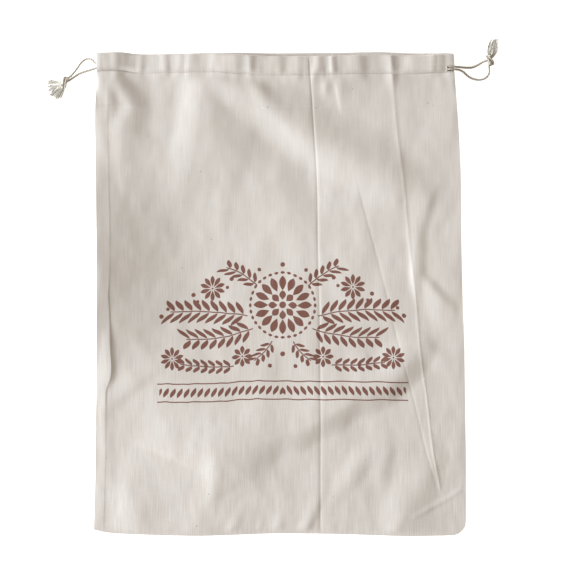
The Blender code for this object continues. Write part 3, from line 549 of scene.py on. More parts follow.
# %% Folds
FOLDS = {
    # points of each crest: x, y, west width, east width, height
    "standing seam": ((-215, 132, 14, 88, 0.6), (-215, 96, 14, 118, 3.4), (-215, 52, 14, 124, 5.8),
                      (-215, 15, 14, 126, 6.2), (-215, -20, 14, 122, 5.4), (-215, -48, 14, 112, 3.4),
                      (-215, -70, 14, 100, 1.4), (-215, -92, 14, 90, 0.3)),
    "left hollow": ((-74, 140, 80, 130, -0.3), (-74, 100, 94, 150, -1.8), (-74, 48, 100, 164, -3.3),
                    (-74, 8, 100, 164, -3.3), (-74, -32, 96, 140, -2.0), (-74, -72, 86, 110, -0.4)),
    "corner slope": ((-167, 214, 30, 50, 0.6), (-167, 196, 30, 54, 1.8), (-165, 170, 30, 48, 2.2),
                     (-164, 148, 30, 42, 0.8)),
    "seam shoulder": ((-167, 130, 14, 24, 0.1), (-167, 108, 14, 24, 0.6), (-167, 70, 14, 24, 0.6),
                      (-166, 40, 14, 24, 0.3), (-166, -4, 14, 24, 0.35), (-166, -44, 14, 24, 0.1)),
    "seam puff": ((-160.2, -30, 11, 4, 0.1), (-159.6, -44, 11, 4, 0.6), (-158.9, -58, 12, 4.5, 0.9),
                  (-158.4, -70, 12, 4.5, 0.9), (-159.2, -80, 12, 4, 0.6), (-162.5, -90, 8, 4, 0.1)),
    "left seam ridge": ((-164, -98, 9, 12, 0.2), (-164, -115, 10, 12, 0.5), (-164, -150, 10, 12, 0.5),
                        (-163, -172, 10, 12, 0.2)),
    "corner fall": ((-149, 228, 14, 12, 1.0), (-154, 208, 12, 12, 1.0), (-147, 192, 10, 14, 0.9),
                    (-138, 178, 12, 18, 1.3), (-141, 165, 16, 26, 1.3), (-146, 153, 18, 32, 1.7),
                    (-146, 140, 16, 36, 1.3), (-148, 118, 14, 34, 0.5)),
    "corner ridge": ((-159, 196, 7, 8, 0.2), (-159, 182, 7, 8, 0.5), (-160, 168, 7, 8, 0.3)),
    "upper crest": ((-66, 222, 30, 62, 1.3), (-69, 202, 27, 68, 2.8), (-73, 178, 28, 74, 3.4),
                    (-76, 148, 28, 74, 3.2), (-82, 118, 30, 68, 1.7), (-88, 88, 34, 60, 0.3)),
    "upper notch": ((-30, 210, 10, 14, 0.2), (-22, 196, 12, 12, 1.0), (-12, 184, 14, 12, 0.9),
                    (2, 172, 14, 12, 0.3)),
    "long diagonal": ((-56, 210, 22, 34, 0.6), (-24, 184, 26, 36, 2.6), (12, 160, 30, 37, 3.5),
                      (48, 140, 32, 38, 3.5), (78, 125, 34, 36, 3.2), (104, 110, 36, 34, 2.8),
                      (124, 98, 30, 30, 1.7), (146, 88, 26, 24, 0.4)),
    "diagonal's end": ((112, 100, 16, 7, 0.2), (111, 88, 18, 7, 0.6), (112, 76, 18, 7, 0.2)),
    "diagonal's foot": ((-62, 190, 24, 26, -0.4), (-36, 160, 28, 30, -1.3), (2, 124, 32, 34, -1.8),
                        (34, 98, 38, 34, -1.8), (64, 74, 34, 34, -0.4)),
    "second diagonal": ((-50, 170, 26, 24, 0.6), (-22, 142, 28, 26, 1.1), (4, 114, 28, 24, 1.1),
                        (16, 86, 24, 18, 0.3)),
    "left shoulder": ((-88, 82, 26, 26, -0.2), (-84, 60, 30, 36, -0.7), (-70, 40, 30, 30, -0.3)),
    "lower ridge": ((134, -34, 22, 18, 0.5), (126, -56, 28, 22, 1.9), (104, -84, 36, 19, 3.2),
                    (84, -93, 45, 24, 3.0), (62, -103, 50, 20, 3.2), (46, -113, 55, 24, 3.0),
                    (32, -121, 60, 20, 3.1), (10, -129, 60, 26, 2.6), (-10, -135, 60, 24, 2.4),
                    (-32, -148, 56, 40, 1.8), (-50, -162, 50, 60, 1.2), (-58, -184, 46, 60, 0.5),
                    (-60, -204, 40, 50, 0.1)),
    "lower left fall": ((-176, -60, 20, 60, -0.4), (-176, -100, 20, 96, -2.0), (-176, -150, 20, 108, -3.2),
                        (-176, -200, 20, 112, -3.2), (-176, -236, 20, 112, -2.8)),
    "right side rise": ((178, 236, 60, 20, -0.6), (178, 100, 70, 20, 0.2), (178, 0, 80, 20, 0.5),
                        (178, -100, 70, 20, -0.2), (178, -160, 70, 20, -0.9), (178, -236, 70, 20, -1.6)),
    "right ridge": ((142, 98, 16, 10, 0.3), (140, 88, 18, 9, 0.6), (132, 60, 14, 9, 0.8),
                    (128, 38, 9, 12, 1.0), (127.5, 20, 7, 12, 1.2), (128, 5, 6, 10, 0.7),
                    (129, -4, 6, 8, 0.1)),
    "right tuck": ((136.5, 14, 6, 6, 0.3), (141, 8, 10, 8, 1.0), (150, -4, 20, 10, 1.2),
                   (160, -15, 26, 12, 1.0), (171, -25, 28, 12, 0.6)),
    "right low tuck": ((134, -38, 12, 10, 0.1), (140, -52, 14, 10, 0.6), (154, -62, 14, 12, 0.3)),
    "left low tuck": ((-112, -66, 14, 9, 0.2), (-136, -84, 16, 10, 0.6), (-160, -104, 14, 10, 0.3)),
    "pleat crest": ((-58, -143, 22, 44, 0.3), (-58, -158, 20, 44, 1.1), (-60, -172, 16, 38, 1.1),
                    (-62, -187, 10, 14, 0.7), (-65, -198, 8, 12, 0.2)),
    "low hill": ((-60, -104, 90, 70, 0.5), (-58, -128, 92, 70, 1.9), (-58, -150, 90, 64, 2.1),
                 (-62, -170, 60, 50, 0.7), (-70, -184, 30, 30, 0.1)),
    "corner hill": ((-142, -176, 26, 40, 0.4), (-142, -192, 26, 48, 1.0), (-140, -206, 26, 48, 1.3),
                    (-136, -226, 26, 44, 1.0)),
    "bottom streak": ((86, -144, 12, 13, 0.2), (78, -156, 16, 14, 0.9), (66, -172, 16, 14, 0.9),
                      (55, -187, 12, 11, 0.5), (46, -204, 10, 9, 0.1)),
    "small streak": ((104, -138, 16, 12, 0.2), (100, -150, 18, 12, 0.7), (97, -167, 15, 12, 0.7),
                     (96, -180, 12, 10, 0.2)),
    "bottom roll": ((148, -154, 24, 14, 0.4), (134, -176, 26, 20, 1.2), (120, -202, 26, 26, 1.2),
                    (110, -228, 24, 26, 1.0)),
    "slot pucker": ((153.4, 211, 5, 5, 0.6), (152.4, 205, 6, 6, 0.9), (151, 198, 6, 7, 0.3)),
    "pressed line": ((126, -210, 2.6, 2.4, 0.2), (137, -204, 2.6, 2.4, 0.55), (144, -199.5, 2.6, 2.4, 0.6),
                     (155, -194.5, 2.6, 2.4, 0.55), (171, -184, 2.6, 2.4, 0.3)),
    "forked pucker, left": ((44.5, 205, 6, 7, 0.2), (43.5, 196, 6, 7, 0.6), (43, 186, 6, 7, 0.1)),
    "forked pucker, right": ((54.5, 199, 4, 9, 0.2), (56, 190, 4, 10, 0.4), (59, 173, 4, 10, 0.2)),
}
CREST_STEP = 6.0
CREST_WIDTH = 8.0


def fold_height(points, x, y):
    """Height of one fold: a ridge that is soft to both sides of its crest."""
    crest = smooth_route(points, CREST_STEP)
    turn = 1.0 if crest[0, 1] >= crest[-1, 1] else -1.0
    away, east, place = np.full(x.shape, 1e9), np.zeros(x.shape), np.zeros(x.shape)
    for k, (a, b) in enumerate(zip(crest, crest[1:])):
        dx, dy = b[:2] - a[:2]
        share = np.clip(((x - a[0]) * dx + (y - a[1]) * dy) / (dx**2 + dy**2), 0, 1)
        distance = np.hypot(x - a[0] - dx * share, y - a[1] - dy * share)
        side = turn * ((y - a[1]) * dx - (x - a[0]) * dy) / np.hypot(dx, dy)
        nearer = distance < away
        away = np.where(nearer, distance, away)
        east = np.where(nearer, side, east)
        place = np.where(nearer, k + share, place)
    west_width, east_width, height = (np.interp(place, np.arange(len(crest)), crest[:, c]) for c in (2, 3, 4))
    towards_east = soften(east / CREST_WIDTH + 0.5)
    width = west_width * (1 - towards_east) + east_width * towards_east
    return height * soften(1 - away / width)


# %% [markdown]
# ## Gathers, puckers and crumple
# The cord draws the casing up into gathers, which run down past the stitches and fade, and the bottom
# seam has small puckers of the same kind. Between them, cloth that was washed and folded is never
# quite flat, so a low noise of three sizes is added everywhere, with the same result in each run.

# %% Small forms
GATHERS = (
    # x of the crest at the top edge, x at the foot, west width, east width, height, reach below the stitches
    (-167, -166, 30, 46, 3.6, 48), (-153.7, -152, 8, 8, 0.7, 12), (-146, -146, 6, 5, 0.4, 3),
    (-130, -130, 5, 5, 0.35, 5),
    (-108, -108, 6, 6, 0.65, 7), (-93.5, -94, 5, 5, 0.3, 9), (-83, -84, 7, 10, 0.55, 12),
    (-60.6, -62, 7, 8, 0.55, 12), (-44, -46, 22, 56, 1.4, 8), (-42, -43, 6, 8, 0.3, 9),
    (-27.7, -27, 6, 6, 0.75, 10), (-1.4, -1, 12, 8, 0.75, 9), (17.4, 17, 7, 8, 0.5, 15),
    (36.2, 36, 7, 8, 0.8, 8),
    (48.9, 50, 4, 6, 0.6, 5), (73.8, 75, 15, 9, 1.0, 18), (103.9, 107, 9, 7, 1.1, 26),
    (123.6, 122, 6, 14, 0.4, 3), (144.6, 144.4, 6, 4.5, 0.55, 3), (151.8, 152, 3.5, 4.5, 0.6, 2),
    (158, 158, 3, 10, 0.3, 12), (148, 148, 44, 6, 0.9, 6),
)
PUCKERS = (
    # x of the crest at the bottom seam, x at the top, west width, east width, height, reach above the seam
    (-107, -98, 9, 9, 0.2, 30), (-83, -90, 9, 9, 0.2, 34), (-46, -30, 9, 9, 0.6, 40),
    (-20, -14, 4, 5, 0.35, 26), (-3, 5, 7, 8, 0.5, 34), (23, 42, 11, 8, 1.0, 48), (48, 50, 5, 6, 0.35, 18),
    (62, 64, 5, 6, 0.3, 20), (107, 121, 12, 9, 0.35, 34), (138, 142, 9, 9, 0.2, 26),
)
CRUMPLE = (
    # width, length, height
    (30, 44, 0.45), (14, 21, 0.24), (7, 10, 0.08),
)
PUCKER_START = 6.0
ALLOWANCE_EDGE = 0.8
SEAM_ALLOWANCE = (
    # y, width of the folded allowance inside the left seam, step down at its inner edge
    (-228, 9.0, 0.14), (-112, 9.0, 0.16), (-100, 9.0, 0.3), (-93, 9.0, 0.34), (-88, 10.1, 0.34),
    (-79, 13.4, 0.34), (-67, 14.1, 0.34), (-53, 13.0, 0.32), (-34, 12.3, 0.32), (-15, 11.3, 0.32),
    (-2, 10.4, 0.3), (12, 11.4, 0.15), (41, 12.2, 0.12), (135, 11.7, 0.12), (228, 11.7, 0.12),
)


def two_sided(off, west_width, east_width):
    """Share of a small ridge at a distance east of its crest."""
    return soften(1 - np.abs(off) / np.where(off > 0, east_width, west_width))


def gather_height(x, y):
    below = Y_TOP - CASING_DEPTH - y
    total = 0.0
    for top_x, foot_x, west_width, east_width, height, reach in GATHERS:
        line = top_x + (foot_x - top_x) * np.clip((Y_TOP - y) / (CASING_DEPTH + reach), 0, 1)
        fade = soften(1 - np.maximum(0, below) / reach)
        total = total + height * fade * two_sided(x - line, west_width, east_width)
    return total


def pucker_height(x, above):
    total = 0.0
    for seam_x, top_x, west_width, east_width, height, reach in PUCKERS:
        line = seam_x + (top_x - seam_x) * np.clip(above / reach, 0, 1)
        fade = soften(above / PUCKER_START) * soften(1 - above / reach)
        total = total + height * fade * two_sided(x - line, west_width, east_width)
    return total


def crumple_height(x, y):
    total = np.zeros(x.shape)
    for seed, (width, length, height) in enumerate(CRUMPLE):
        flat = [noise.noise((a / width, b / length, 7.3 * seed)) for a, b in zip(x.ravel(), y.ravel())]
        total += height * np.array(flat).reshape(x.shape)
    return total


def crease_height(x, y):
    total = 0.0
    for column, low, high, fade_below, fade_above, half_width, height in CREASES:
        fade = soften((y - low) / fade_below) * soften((high - y) / fade_above)
        away = np.abs(x - read_table(CREASE_LINES, column, y))
        total = total + height * fade * np.clip(1 - away / half_width, 0, 1)
    return total


def fold_relief(x, y):
    return sum(fold_height(points, x, y) for points in FOLDS.values())


def rim_line(column, inset):
    """Height of one rim all the way up its seam: a drop below the front cloth just inside the seam."""
    inside = read_table(SIDE_EDGES, column, RIM_Y) + inset
    return np.maximum(0, FRONT_LEVEL + fold_relief(inside, RIM_Y) - read_table(SIDE_EDGES, column + 2, RIM_Y))


LEFT_RIM, RIGHT_RIM = rim_line(1, RIM_INSET), rim_line(2, -RIM_INSET)


def rim_height(x, y):
    """Height to which the seam lifts the back panel's rim, left to right."""
    left, right, _ = edge_distances(x, y)
    share = soften(left / (left + right))
    return np.interp(y, RIM_Y, LEFT_RIM) * (1 - share) + np.interp(y, RIM_Y, RIGHT_RIM) * share


def front_body(x, y):
    """Middle of the front panel below the casing, which rolls down to the seams at its edges."""
    left, right, bottom = edge_distances(x, y)
    relief = fold_relief(x, y) + crease_height(x, y) + pucker_height(x, bottom) + crumple_height(x, y)
    inside = np.clip((read_table(SEAM_ALLOWANCE, 1, y) - left) / ALLOWANCE_EDGE + 1, 0, 1)
    relief = relief + read_table(SEAM_ALLOWANCE, 2, y) * inside
    tightened = soften((y - ROLL_TIGHTENS) / (Y_TOP - CASING_DEPTH - ROLL_TIGHTENS))
    reach = SEAM_ROLL - (SEAM_ROLL - TOP_ROLL) * tightened
    roll = 1.0
    for distance in (left, right, bottom):
        roll = roll * (1 - (1 - np.clip(distance / reach, 0, 1)) ** ROLL_POWER)
    seam = BACK_MIDDLE + SEWN_STEP + rim_height(x, y)
    return seam + (FRONT_LEVEL + relief - seam) * roll


def hem_level(x):
    """Middle of the front hem, which stands clear of the back hem in mid mouth."""
    left, right = x - SIDE_EDGES[-1][1] - HEM_INSET_LEFT, SIDE_EDGES[-1][2] - HEM_INSET_RIGHT - x
    rest = CLOTH / 2 + CHANNEL_STEP + LAYER_STEP
    return rest + MOUTH_OPENING * soften(np.minimum(left / MOUTH_SIDES[0], right / MOUTH_SIDES[1]))


# %% [markdown]
# ## From a grid to a shell of cloth
# A sheet without thickness has no edge and no inside, so each grid becomes a thin closed shell: one
# face half a thickness above the middle, one below, and a rim. Two UV maps go with it. The map "cloth"
# holds the place on the flat cloth in metres, which the weave reads. The map "OFBake" lays out the
# shell for baking, and gives most of its room to the side that shows.

# %% Shells
BAKE_SPLIT = 0.72
BAKE_MARGIN = 0.01
SHARP_ANGLE = radians(60)


def along_cloth(middle, fold_row):
    """Distance up the cloth of every point, from zero at the top fold's own row."""
    steps = np.linalg.norm(np.diff(middle[:, :, 1:], axis=0), axis=2)
    up = np.vstack([np.zeros((1, middle.shape[1])), np.cumsum(steps, axis=0)])
    return up - up[fold_row]


def cloth_shell(name, middle, fold_row, shown, material):
    """Closed shell of cloth round a grid of points in its middle, in millimetres."""
    rows, columns = middle.shape[:2]
    normal = np.cross(np.gradient(middle, axis=1), np.gradient(middle, axis=0))
    normal /= np.linalg.norm(normal, axis=2)[:, :, None]
    upper, lower = middle + normal * THICKNESS / 2, middle - normal * THICKNESS / 2
    points = np.concatenate([upper.reshape(-1, 3), lower.reshape(-1, 3)]) * MM
    index = np.arange(rows * columns).reshape(rows, columns)
    quads = np.stack([index[:-1, :-1], index[:-1, 1:], index[1:, 1:], index[1:, :-1]], axis=2).reshape(-1, 4)
    under = rows * columns
    faces = [quads, quads[:, ::-1] + under]
    rim = np.concatenate([index[0, ::-1], index[1:, 0], index[-1, 1:], index[-2:0:-1, -1]])
    after = np.roll(rim, -1)
    faces.append(np.stack([rim, after, after + under, rim + under], axis=1))
    faces = np.concatenate(faces)
    mesh = bpy.data.meshes.new(name)
    mesh.from_pydata(points.tolist(), [], faces.tolist())
    mesh.materials.append(material)
    mesh.shade_smooth()
    mesh.set_sharp_from_angle(angle=SHARP_ANGLE)
    up = along_cloth(middle, fold_row)
    flat = np.stack([middle[:, :, 0], up], axis=2).reshape(-1, 2) * MM
    share = (flat - flat.min(axis=0)) / (flat.max(axis=0) - flat.min(axis=0))
    wide = np.array((BAKE_SPLIT - 2 * BAKE_MARGIN, 1 - 2 * BAKE_MARGIN))
    narrow = np.array((1 - BAKE_SPLIT - 2 * BAKE_MARGIN, 1 - 2 * BAKE_MARGIN))
    big, small = share * wide + BAKE_MARGIN, share * narrow + (BAKE_SPLIT + BAKE_MARGIN, BAKE_MARGIN)
    halves = (big, small) if shown == "upper" else (small, big)
    corners = faces.ravel()
    spots = np.concatenate([halves[0], halves[1]])[corners]
    rim_corners = spots[-4 * len(rim):].reshape(-1, 4, 2)
    top_corners = rim_corners[:, :2].copy()
    centre = halves[0].mean(axis=0)
    rim_corners[:, 2:] = top_corners[:, ::-1] + np.sign(top_corners[:, ::-1] - centre) * BAKE_MARGIN / 3
    for label, values in (("cloth", np.concatenate([flat, flat])[corners]), ("OFBake", spots)):
        layer = mesh.uv_layers.new(name=label)
        layer.uv.foreach_set("vector", np.ascontiguousarray(values, dtype=np.float32).ravel())
    mesh.update()
    long = up.max() - up.min()
    print(f"{name}: {len(mesh.polygons)} faces, {long:.0f} mm of cloth from seam to hem's edge")
    return put(name, mesh)


# %% [markdown]
# ## The front panel
# The front panel is one piece from the bottom seam up over the casing and down inside it to the edge
# of its hem. Its columns run along the seams and the creases, so that a crease is always an edge of
# the mesh and stays sharp. Where the casing is stitched the cloth dips in a groove, and the thread
# pulls small puckers into it.

# %% Front cloth
FRONT_SPANS = (8, 95, 40, 12, 24)
SPLIT_CELL = 0.35
EDGE_ROWS = (0, 0.7, 1.6, 2.8, 4.3, 6.0, 8.0)
FRONT_ROWS = 190
BLEND_START = 50.0
BLEND_ROWS = (50, 48, 46, 44, 42, 40, 38, 36, 34, 32, 30, 28, 26, 24.4, 22.8, 21.4, 20.2, 19.3, 18.6)
OUTER_SECTION = (
    # below the top edge, height above the hem's middle, right end's inset
    (18.0, 1.3, 0.0), (17.4, 1.8, 0.0), (16.9, 2.15, 6.8), (15.9, 2.7, 6.8), (14.8, 3.15, 6.8),
    (13.6, 3.5, 6.8), (12.9, 3.6, 6.8), (12.3, 3.6, 6.8), (11.8, 3.6, 0.0), (10.3, 3.6, 0.0), (8.8, 3.6, 0.0),
    (7.5, 3.6, 0.0), (6.0, 3.6, 0.0), (4.5, 3.6, 0.0), (3.3, 3.6, 0.0), (2.3, 3.6, 0.0),
)
RELIEF_FADE = 16.0
TURN_STEPS = 7
HEM_ROWS = (2.3, 5.0, 8.0, 11.0, 14.0, 17.0, 20.5)
CASING_DROOP = 0.2
DROOP_WIDTH = 4.0
GROOVE_DEPTH = 0.2
GROOVE_WIDTH = 1.8
PULLS = (
    # width, height
    (3.6, 0.12), (8.0, 0.34),
)
PULL_REACH_UP = 26.0
PULL_REACH_DOWN = 15.0
PULL_LENGTH = 15.0


def front_shares():
    """(span, share) of every column between the guide lines."""
    columns = []
    for span, cells in enumerate(FRONT_SPANS):
        places = sorted([*range(cells), SPLIT_CELL, cells - SPLIT_CELL])
        columns += [(span, place / cells) for place in places]
    return columns + [(len(FRONT_SPANS) - 1, 1.0)]


def front_x(y, inset_left=0.0, inset_right=0.0):
    """x of every column at a height y: the guides are the seams, the seam allowance and the creases."""
    y = np.array([float(y)])
    left, right = read_table(SIDE_EDGES, 1, y), read_table(SIDE_EDGES, 2, y)
    creases = [read_table(CREASE_LINES, column, y) for column in (1, 2, 3)]
    guides = [left, left + read_table(SEAM_ALLOWANCE, 1, y), *creases, right]
    x = np.array([guides[s][0] * (1 - share) + guides[s + 1][0] * share for s, share in front_shares()])
    across = (x - left) / (right - left)
    return x + inset_left * (1 - across) ** 4 - inset_right * across**6


def fit_bottom(x, y):
    """Moves rows near the bottom so that the lowest one lies on the seam's own line."""
    share = np.clip((Y_TOP - y) / (Y_TOP - Y_BOTTOM), 0, 1) ** 5
    return y + (bottom_edge(x) - Y_BOTTOM) * share


def casing_droop(x, y):
    left, right, _ = edge_distances(x, y)
    return CASING_DROOP * (1 - np.clip(np.minimum(left, right) / DROOP_WIDTH, 0, 1)) ** 2


def stitch_pull(x, y, below):
    """Groove at the stitched line, and the small puckers that its thread pulls to both sides."""
    away = below - CASING_DEPTH
    fade = soften(1 - away / PULL_REACH_DOWN) * soften(1 + away / PULL_REACH_UP)
    total = -GROOVE_DEPTH * soften(1 - abs(away) / GROOVE_WIDTH)
    for width, height in PULLS:
        total = total + fade * height * np.array([noise.noise((a / width, b / PULL_LENGTH, width))
                                                  for a, b in zip(x, y)])
    return total


front_rows = []
heights = [Y_BOTTOM + edge for edge in EDGE_ROWS[:-1]]
heights += list(np.linspace(Y_BOTTOM + EDGE_ROWS[-1], Y_TOP - BLEND_START, FRONT_ROWS))[:-1]
body_x = np.array([front_x(y) for y in heights])
body_y = fit_bottom(body_x, np.array(heights)[:, None] + 0 * body_x)
front_rows += list(np.stack([body_x, body_y, front_body(body_x, body_y)], axis=2))
for below in BLEND_ROWS:
    x = front_x(Y_TOP - below)
    y = read_table(TOP_EDGE, 2, x) - below
    share = soften((BLEND_START + 2 - below) / (BLEND_START + 2 - CASING_DEPTH))
    casing = hem_level(x) + LAYER_STEP - casing_droop(x, y)
    z = front_body(x, y) * (1 - share) + casing * share + gather_height(x, y) + stitch_pull(x, y, below)
    kept = soften((below - CASING_DEPTH) / RELIEF_FADE)
    z = z + (crease_height(x, y) + crumple_height(x, y) + fold_relief(x, y) * kept) * share
    front_rows.append(np.stack([x, y, z], axis=1))
front_stitch_row = len(front_rows)
for below, lift, inset in OUTER_SECTION:
    x = front_x(Y_TOP - below, 0.0, inset)
    y = read_table(TOP_EDGE, 2, x) - below
    puff = gather_height(x, y) * lift / CHANNEL_STEP + crumple_height(x, y) + crease_height(x, y)
    z = hem_level(x) + lift + puff - casing_droop(x, y) + stitch_pull(x, y, below)
    front_rows.append(np.stack([x, y, z], axis=1))
front_fold_row = len(front_rows) + TURN_STEPS // 2
for step in range(1, TURN_STEPS + 1):
    share = step / (TURN_STEPS + 1)
    angle = pi / 2 - pi * share
    x = front_x(Y_TOP, HEM_INSET_LEFT * share**3, HEM_INSET_RIGHT * share**3)
    y = read_table(TOP_EDGE, 2, x) - CLOTH / 2 - FOLD_RADIUS * (1 - cos(angle))
    z = hem_level(x) + FOLD_RADIUS * (1 + sin(angle))
    puff = gather_height(x, y) - casing_droop(x, y)
    front_rows.append(np.stack([x, y, z + puff * (1 - share)], axis=1))
for below in HEM_ROWS:
    x = front_x(Y_TOP - below, HEM_INSET_LEFT, HEM_INSET_RIGHT)
    y = read_table(TOP_EDGE, 2, x) - below
    front_rows.append(np.stack([x, y, hem_level(x)], axis=1))
front_middle = np.array(front_rows)
print("front grid", front_middle.shape)

# %% [markdown]
# ## The back panel
# The back panel lies flat on the table. At the sides and the bottom its rim curls up to meet the
# front panel, because both are sewn together there, and at the top it has the same casing, turned to
# the inside.

# %% Back cloth
BACK_COLUMNS = 110
BACK_ROWS = 124
BACK_EASE = 0.11
RIM_CURL = 16.0
BACK_CASING_ROWS = (15.0, 11.5, 8.0, 5.0, 2.3)
BACK_HEM_SECTION = (
    # below the top edge, height of the hem above the panel's middle
    (2.3, 3.6), (5.0, 3.6), (8.0, 3.6), (10.6, 3.6), (13.2, 3.6), (14.4, 3.3), (15.5, 2.9), (16.8, 2.1),
    (18.0, 1.3), (20.5, 1.3),
)


def back_x(y, inset_left=0.0, inset_right=0.0):
    share = np.linspace(0, 1, BACK_COLUMNS + 1)
    eased = share - BACK_EASE * np.sin(2 * pi * share)
    left, right = read_table(SIDE_EDGES, 1, np.array([y])), read_table(SIDE_EDGES, 2, np.array([y]))
    return left + inset_left + (right - inset_right - left - inset_left) * eased


def back_height(x, y):
    nearest = np.minimum.reduce(edge_distances(x, y))
    return BACK_MIDDLE + rim_height(x, y) * (1 - np.clip(nearest / RIM_CURL, 0, 1)) ** 2


back_rows = []
heights = [Y_BOTTOM + edge for edge in EDGE_ROWS[:-1]]
heights += list(np.linspace(Y_BOTTOM + EDGE_ROWS[-1], Y_TOP - CASING_DEPTH, BACK_ROWS))
for height in heights:
    x = back_x(height)
    y = fit_bottom(x, height)
    back_rows.append(np.stack([x, y, back_height(x, y)], axis=1))
back_stitch_row = len(back_rows) - 1
for below in BACK_CASING_ROWS:
    x = back_x(Y_TOP - below)
    y = read_table(TOP_EDGE, 1, x) - below
    back_rows.append(np.stack([x, y, back_height(x, y)], axis=1))
back_fold_row = len(back_rows) + TURN_STEPS // 2
for step in range(1, TURN_STEPS + 1):
    share = step / (TURN_STEPS + 1)
    angle = pi * share - pi / 2
    x = back_x(Y_TOP, HEM_INSET_LEFT * share**3, HEM_INSET_RIGHT * share**3)
    y = read_table(TOP_EDGE, 1, x) - CLOTH / 2 - FOLD_RADIUS * (1 - cos(angle))
    z = BACK_MIDDLE + FOLD_RADIUS * (1 + sin(angle)) + 0 * x
    back_rows.append(np.stack([x, y, z], axis=1))
for below, lift in BACK_HEM_SECTION:
    x = back_x(Y_TOP - below, HEM_INSET_LEFT, HEM_INSET_RIGHT)
    back_rows.append(np.stack([x, read_table(TOP_EDGE, 1, x) - below, BACK_MIDDLE + lift + 0 * x], axis=1))
back_middle = np.array(back_rows)
print("back grid", back_middle.shape)

# %% [markdown]
# ## Natural linen
# Undyed linen is a plain weave of uneven yarns: a grey beige with darker and paler threads, short
# thick places called slubs, and small brown flecks of flax straw. The surface is washed, so it is
# matt and slightly fuzzy. Threads 0.6 mm apart are too fine to show at this distance, so the streaks
# below are drawn 1.5 mm wide. They run up the cloth, because the warp yarns lie closer than the weft.
# Every pattern reads the map "cloth", in metres of flat cloth, so it follows the folds.

# %% Linen
STREAK_WIDTH = 1.5
STREAK_LENGTH = 26.0
WEFT_WIDTH = 1.9
WEFT_LENGTH = 14.0
MOTTLE_SIZE = 22.0
FLECK_SPACING = 16.0
WARP_SHARE = 0.85
LOWER_CLOTH = (-0.42, -0.16)
DARK_YARN = "#CFC8C4"
PALE_YARN = "#DCD6D3"
MOTTLE = "#C8BEB0"
STRAW = "#7A6350"
# colour of the painted shadow along the stitched line
PAINTED_STITCH_SHADOW = "#8F7867"
INK = "#744538"


def woven(tree, place, width, length, detail=3.0):
    """Noise drawn out along the threads: its sizes are in millimetres, across and up the cloth."""
    stretched = add_node(tree, "ShaderNodeMapping", {"Vector": place, "Scale": (1 / (width * MM),
                                                                               1 / (length * MM), 1)})
    return add_node(tree, "ShaderNodeTexNoise", {"Vector": stretched, "Scale": 1.0, "Detail": detail})


def blend(tree, factor, a, b):
    """Mix of two colours, each a hex code or a socket."""
    a, b = (linear(c) if isinstance(c, str) else c for c in (a, b))
    mix = add_node(tree, "ShaderNodeMix", {"Factor": factor, "A": a, "B": b}, data_type="RGBA")
    return mix.outputs[2]


def ramp(tree, value, low, high, to_low=0.0, to_high=1.0):
    return add_node(tree, "ShaderNodeMapRange", {"Value": value, "From Min": low, "From Max": high,
                                                 "To Min": to_low, "To Max": to_high})


def linen_finish(name, print_mask=None):
    material, tree, surface = new_finish(name)
    place = add_node(tree, "ShaderNodeUVMap", uv_map="cloth").outputs[0]
    warp = woven(tree, place, STREAK_WIDTH / 2, STREAK_LENGTH)
    weft = woven(tree, place, WEFT_LENGTH, WEFT_WIDTH / 2)
    mottle = woven(tree, place, MOTTLE_SIZE, MOTTLE_SIZE * 1.4)
    threads = calc(tree, "MULTIPLY_ADD", warp, WARP_SHARE, 0.0)
    threads = calc(tree, "MULTIPLY_ADD", weft, 1 - WARP_SHARE, threads)
    up = add_node(tree, "ShaderNodeSeparateXYZ", {"Vector": place}).outputs["Y"]
    thin = ramp(tree, up, *LOWER_CLOTH, 0.39, 0.31)
    thick = ramp(tree, up, *LOWER_CLOTH, 0.61, 0.69)
    colour = blend(tree, ramp(tree, threads, thin, thick), DARK_YARN, PALE_YARN)
    colour = blend(tree, ramp(tree, mottle, 0.35, 0.7, 0.0, 0.22), colour, MOTTLE)
    cells = add_node(tree, "ShaderNodeTexVoronoi", {"Vector": place, "Scale": 1 / (FLECK_SPACING * MM)})
    fleck = ramp(tree, cells.outputs["Distance"], 0.022, 0.034, 0.75, 0.0)
    rare = ramp(tree, cells.outputs["Color"], 0.62, 0.66)
    flecks = calc(tree, "MULTIPLY", fleck, rare)
    colour = blend(tree, flecks, colour, STRAW)
    # Painted shadow: a dark band is painted along the stitched line, for the shade in its groove.
    from_seam = calc(tree, "ADD", up, (CASING_DEPTH + 1.2) * MM)
    from_seam = calc(tree, "ABSOLUTE", from_seam)
    colour = blend(tree, ramp(tree, from_seam, 0.2 * MM, 0.9 * MM, 0.1, 0.0), colour, PAINTED_STITCH_SHADOW)
    if print_mask:
        soak = ramp(tree, threads, 0.3, 0.7, 0.9, 1.0)
        ink = calc(tree, "MULTIPLY", print_mask(tree, place), soak)
        colour = blend(tree, ink, colour, INK)
    relief = add_node(tree, "ShaderNodeBump", {"Strength": 0.6, "Distance": 0.05 * MM, "Height": threads})
    tree.links.new(colour, surface.inputs["Base Color"])
    tree.links.new(relief.outputs[0], surface.inputs["Normal"])
    surface.inputs["Roughness"].default_value = 0.92
    surface.inputs["Specular IOR Level"].default_value = 0.25
    surface.inputs["Sheen Weight"].default_value = 0.12
    surface.inputs["Sheen Roughness"].default_value = 0.6
    return material


# %% [markdown]
# ## The print
# The bag is printed with one warm brown ink that has soaked into the weave, so the threads show
# through it. The picture here is a plain folk pattern made for this lesson: a rosette, leafy sprigs,
# daisies and a border, the same on both sides of its middle line. One idea makes all of it. A row of
# leaves repeats a single lens shape along a line: bent round a centre the row is a flower, slanted
# away from a stem it is a sprig, and straight it is a border.

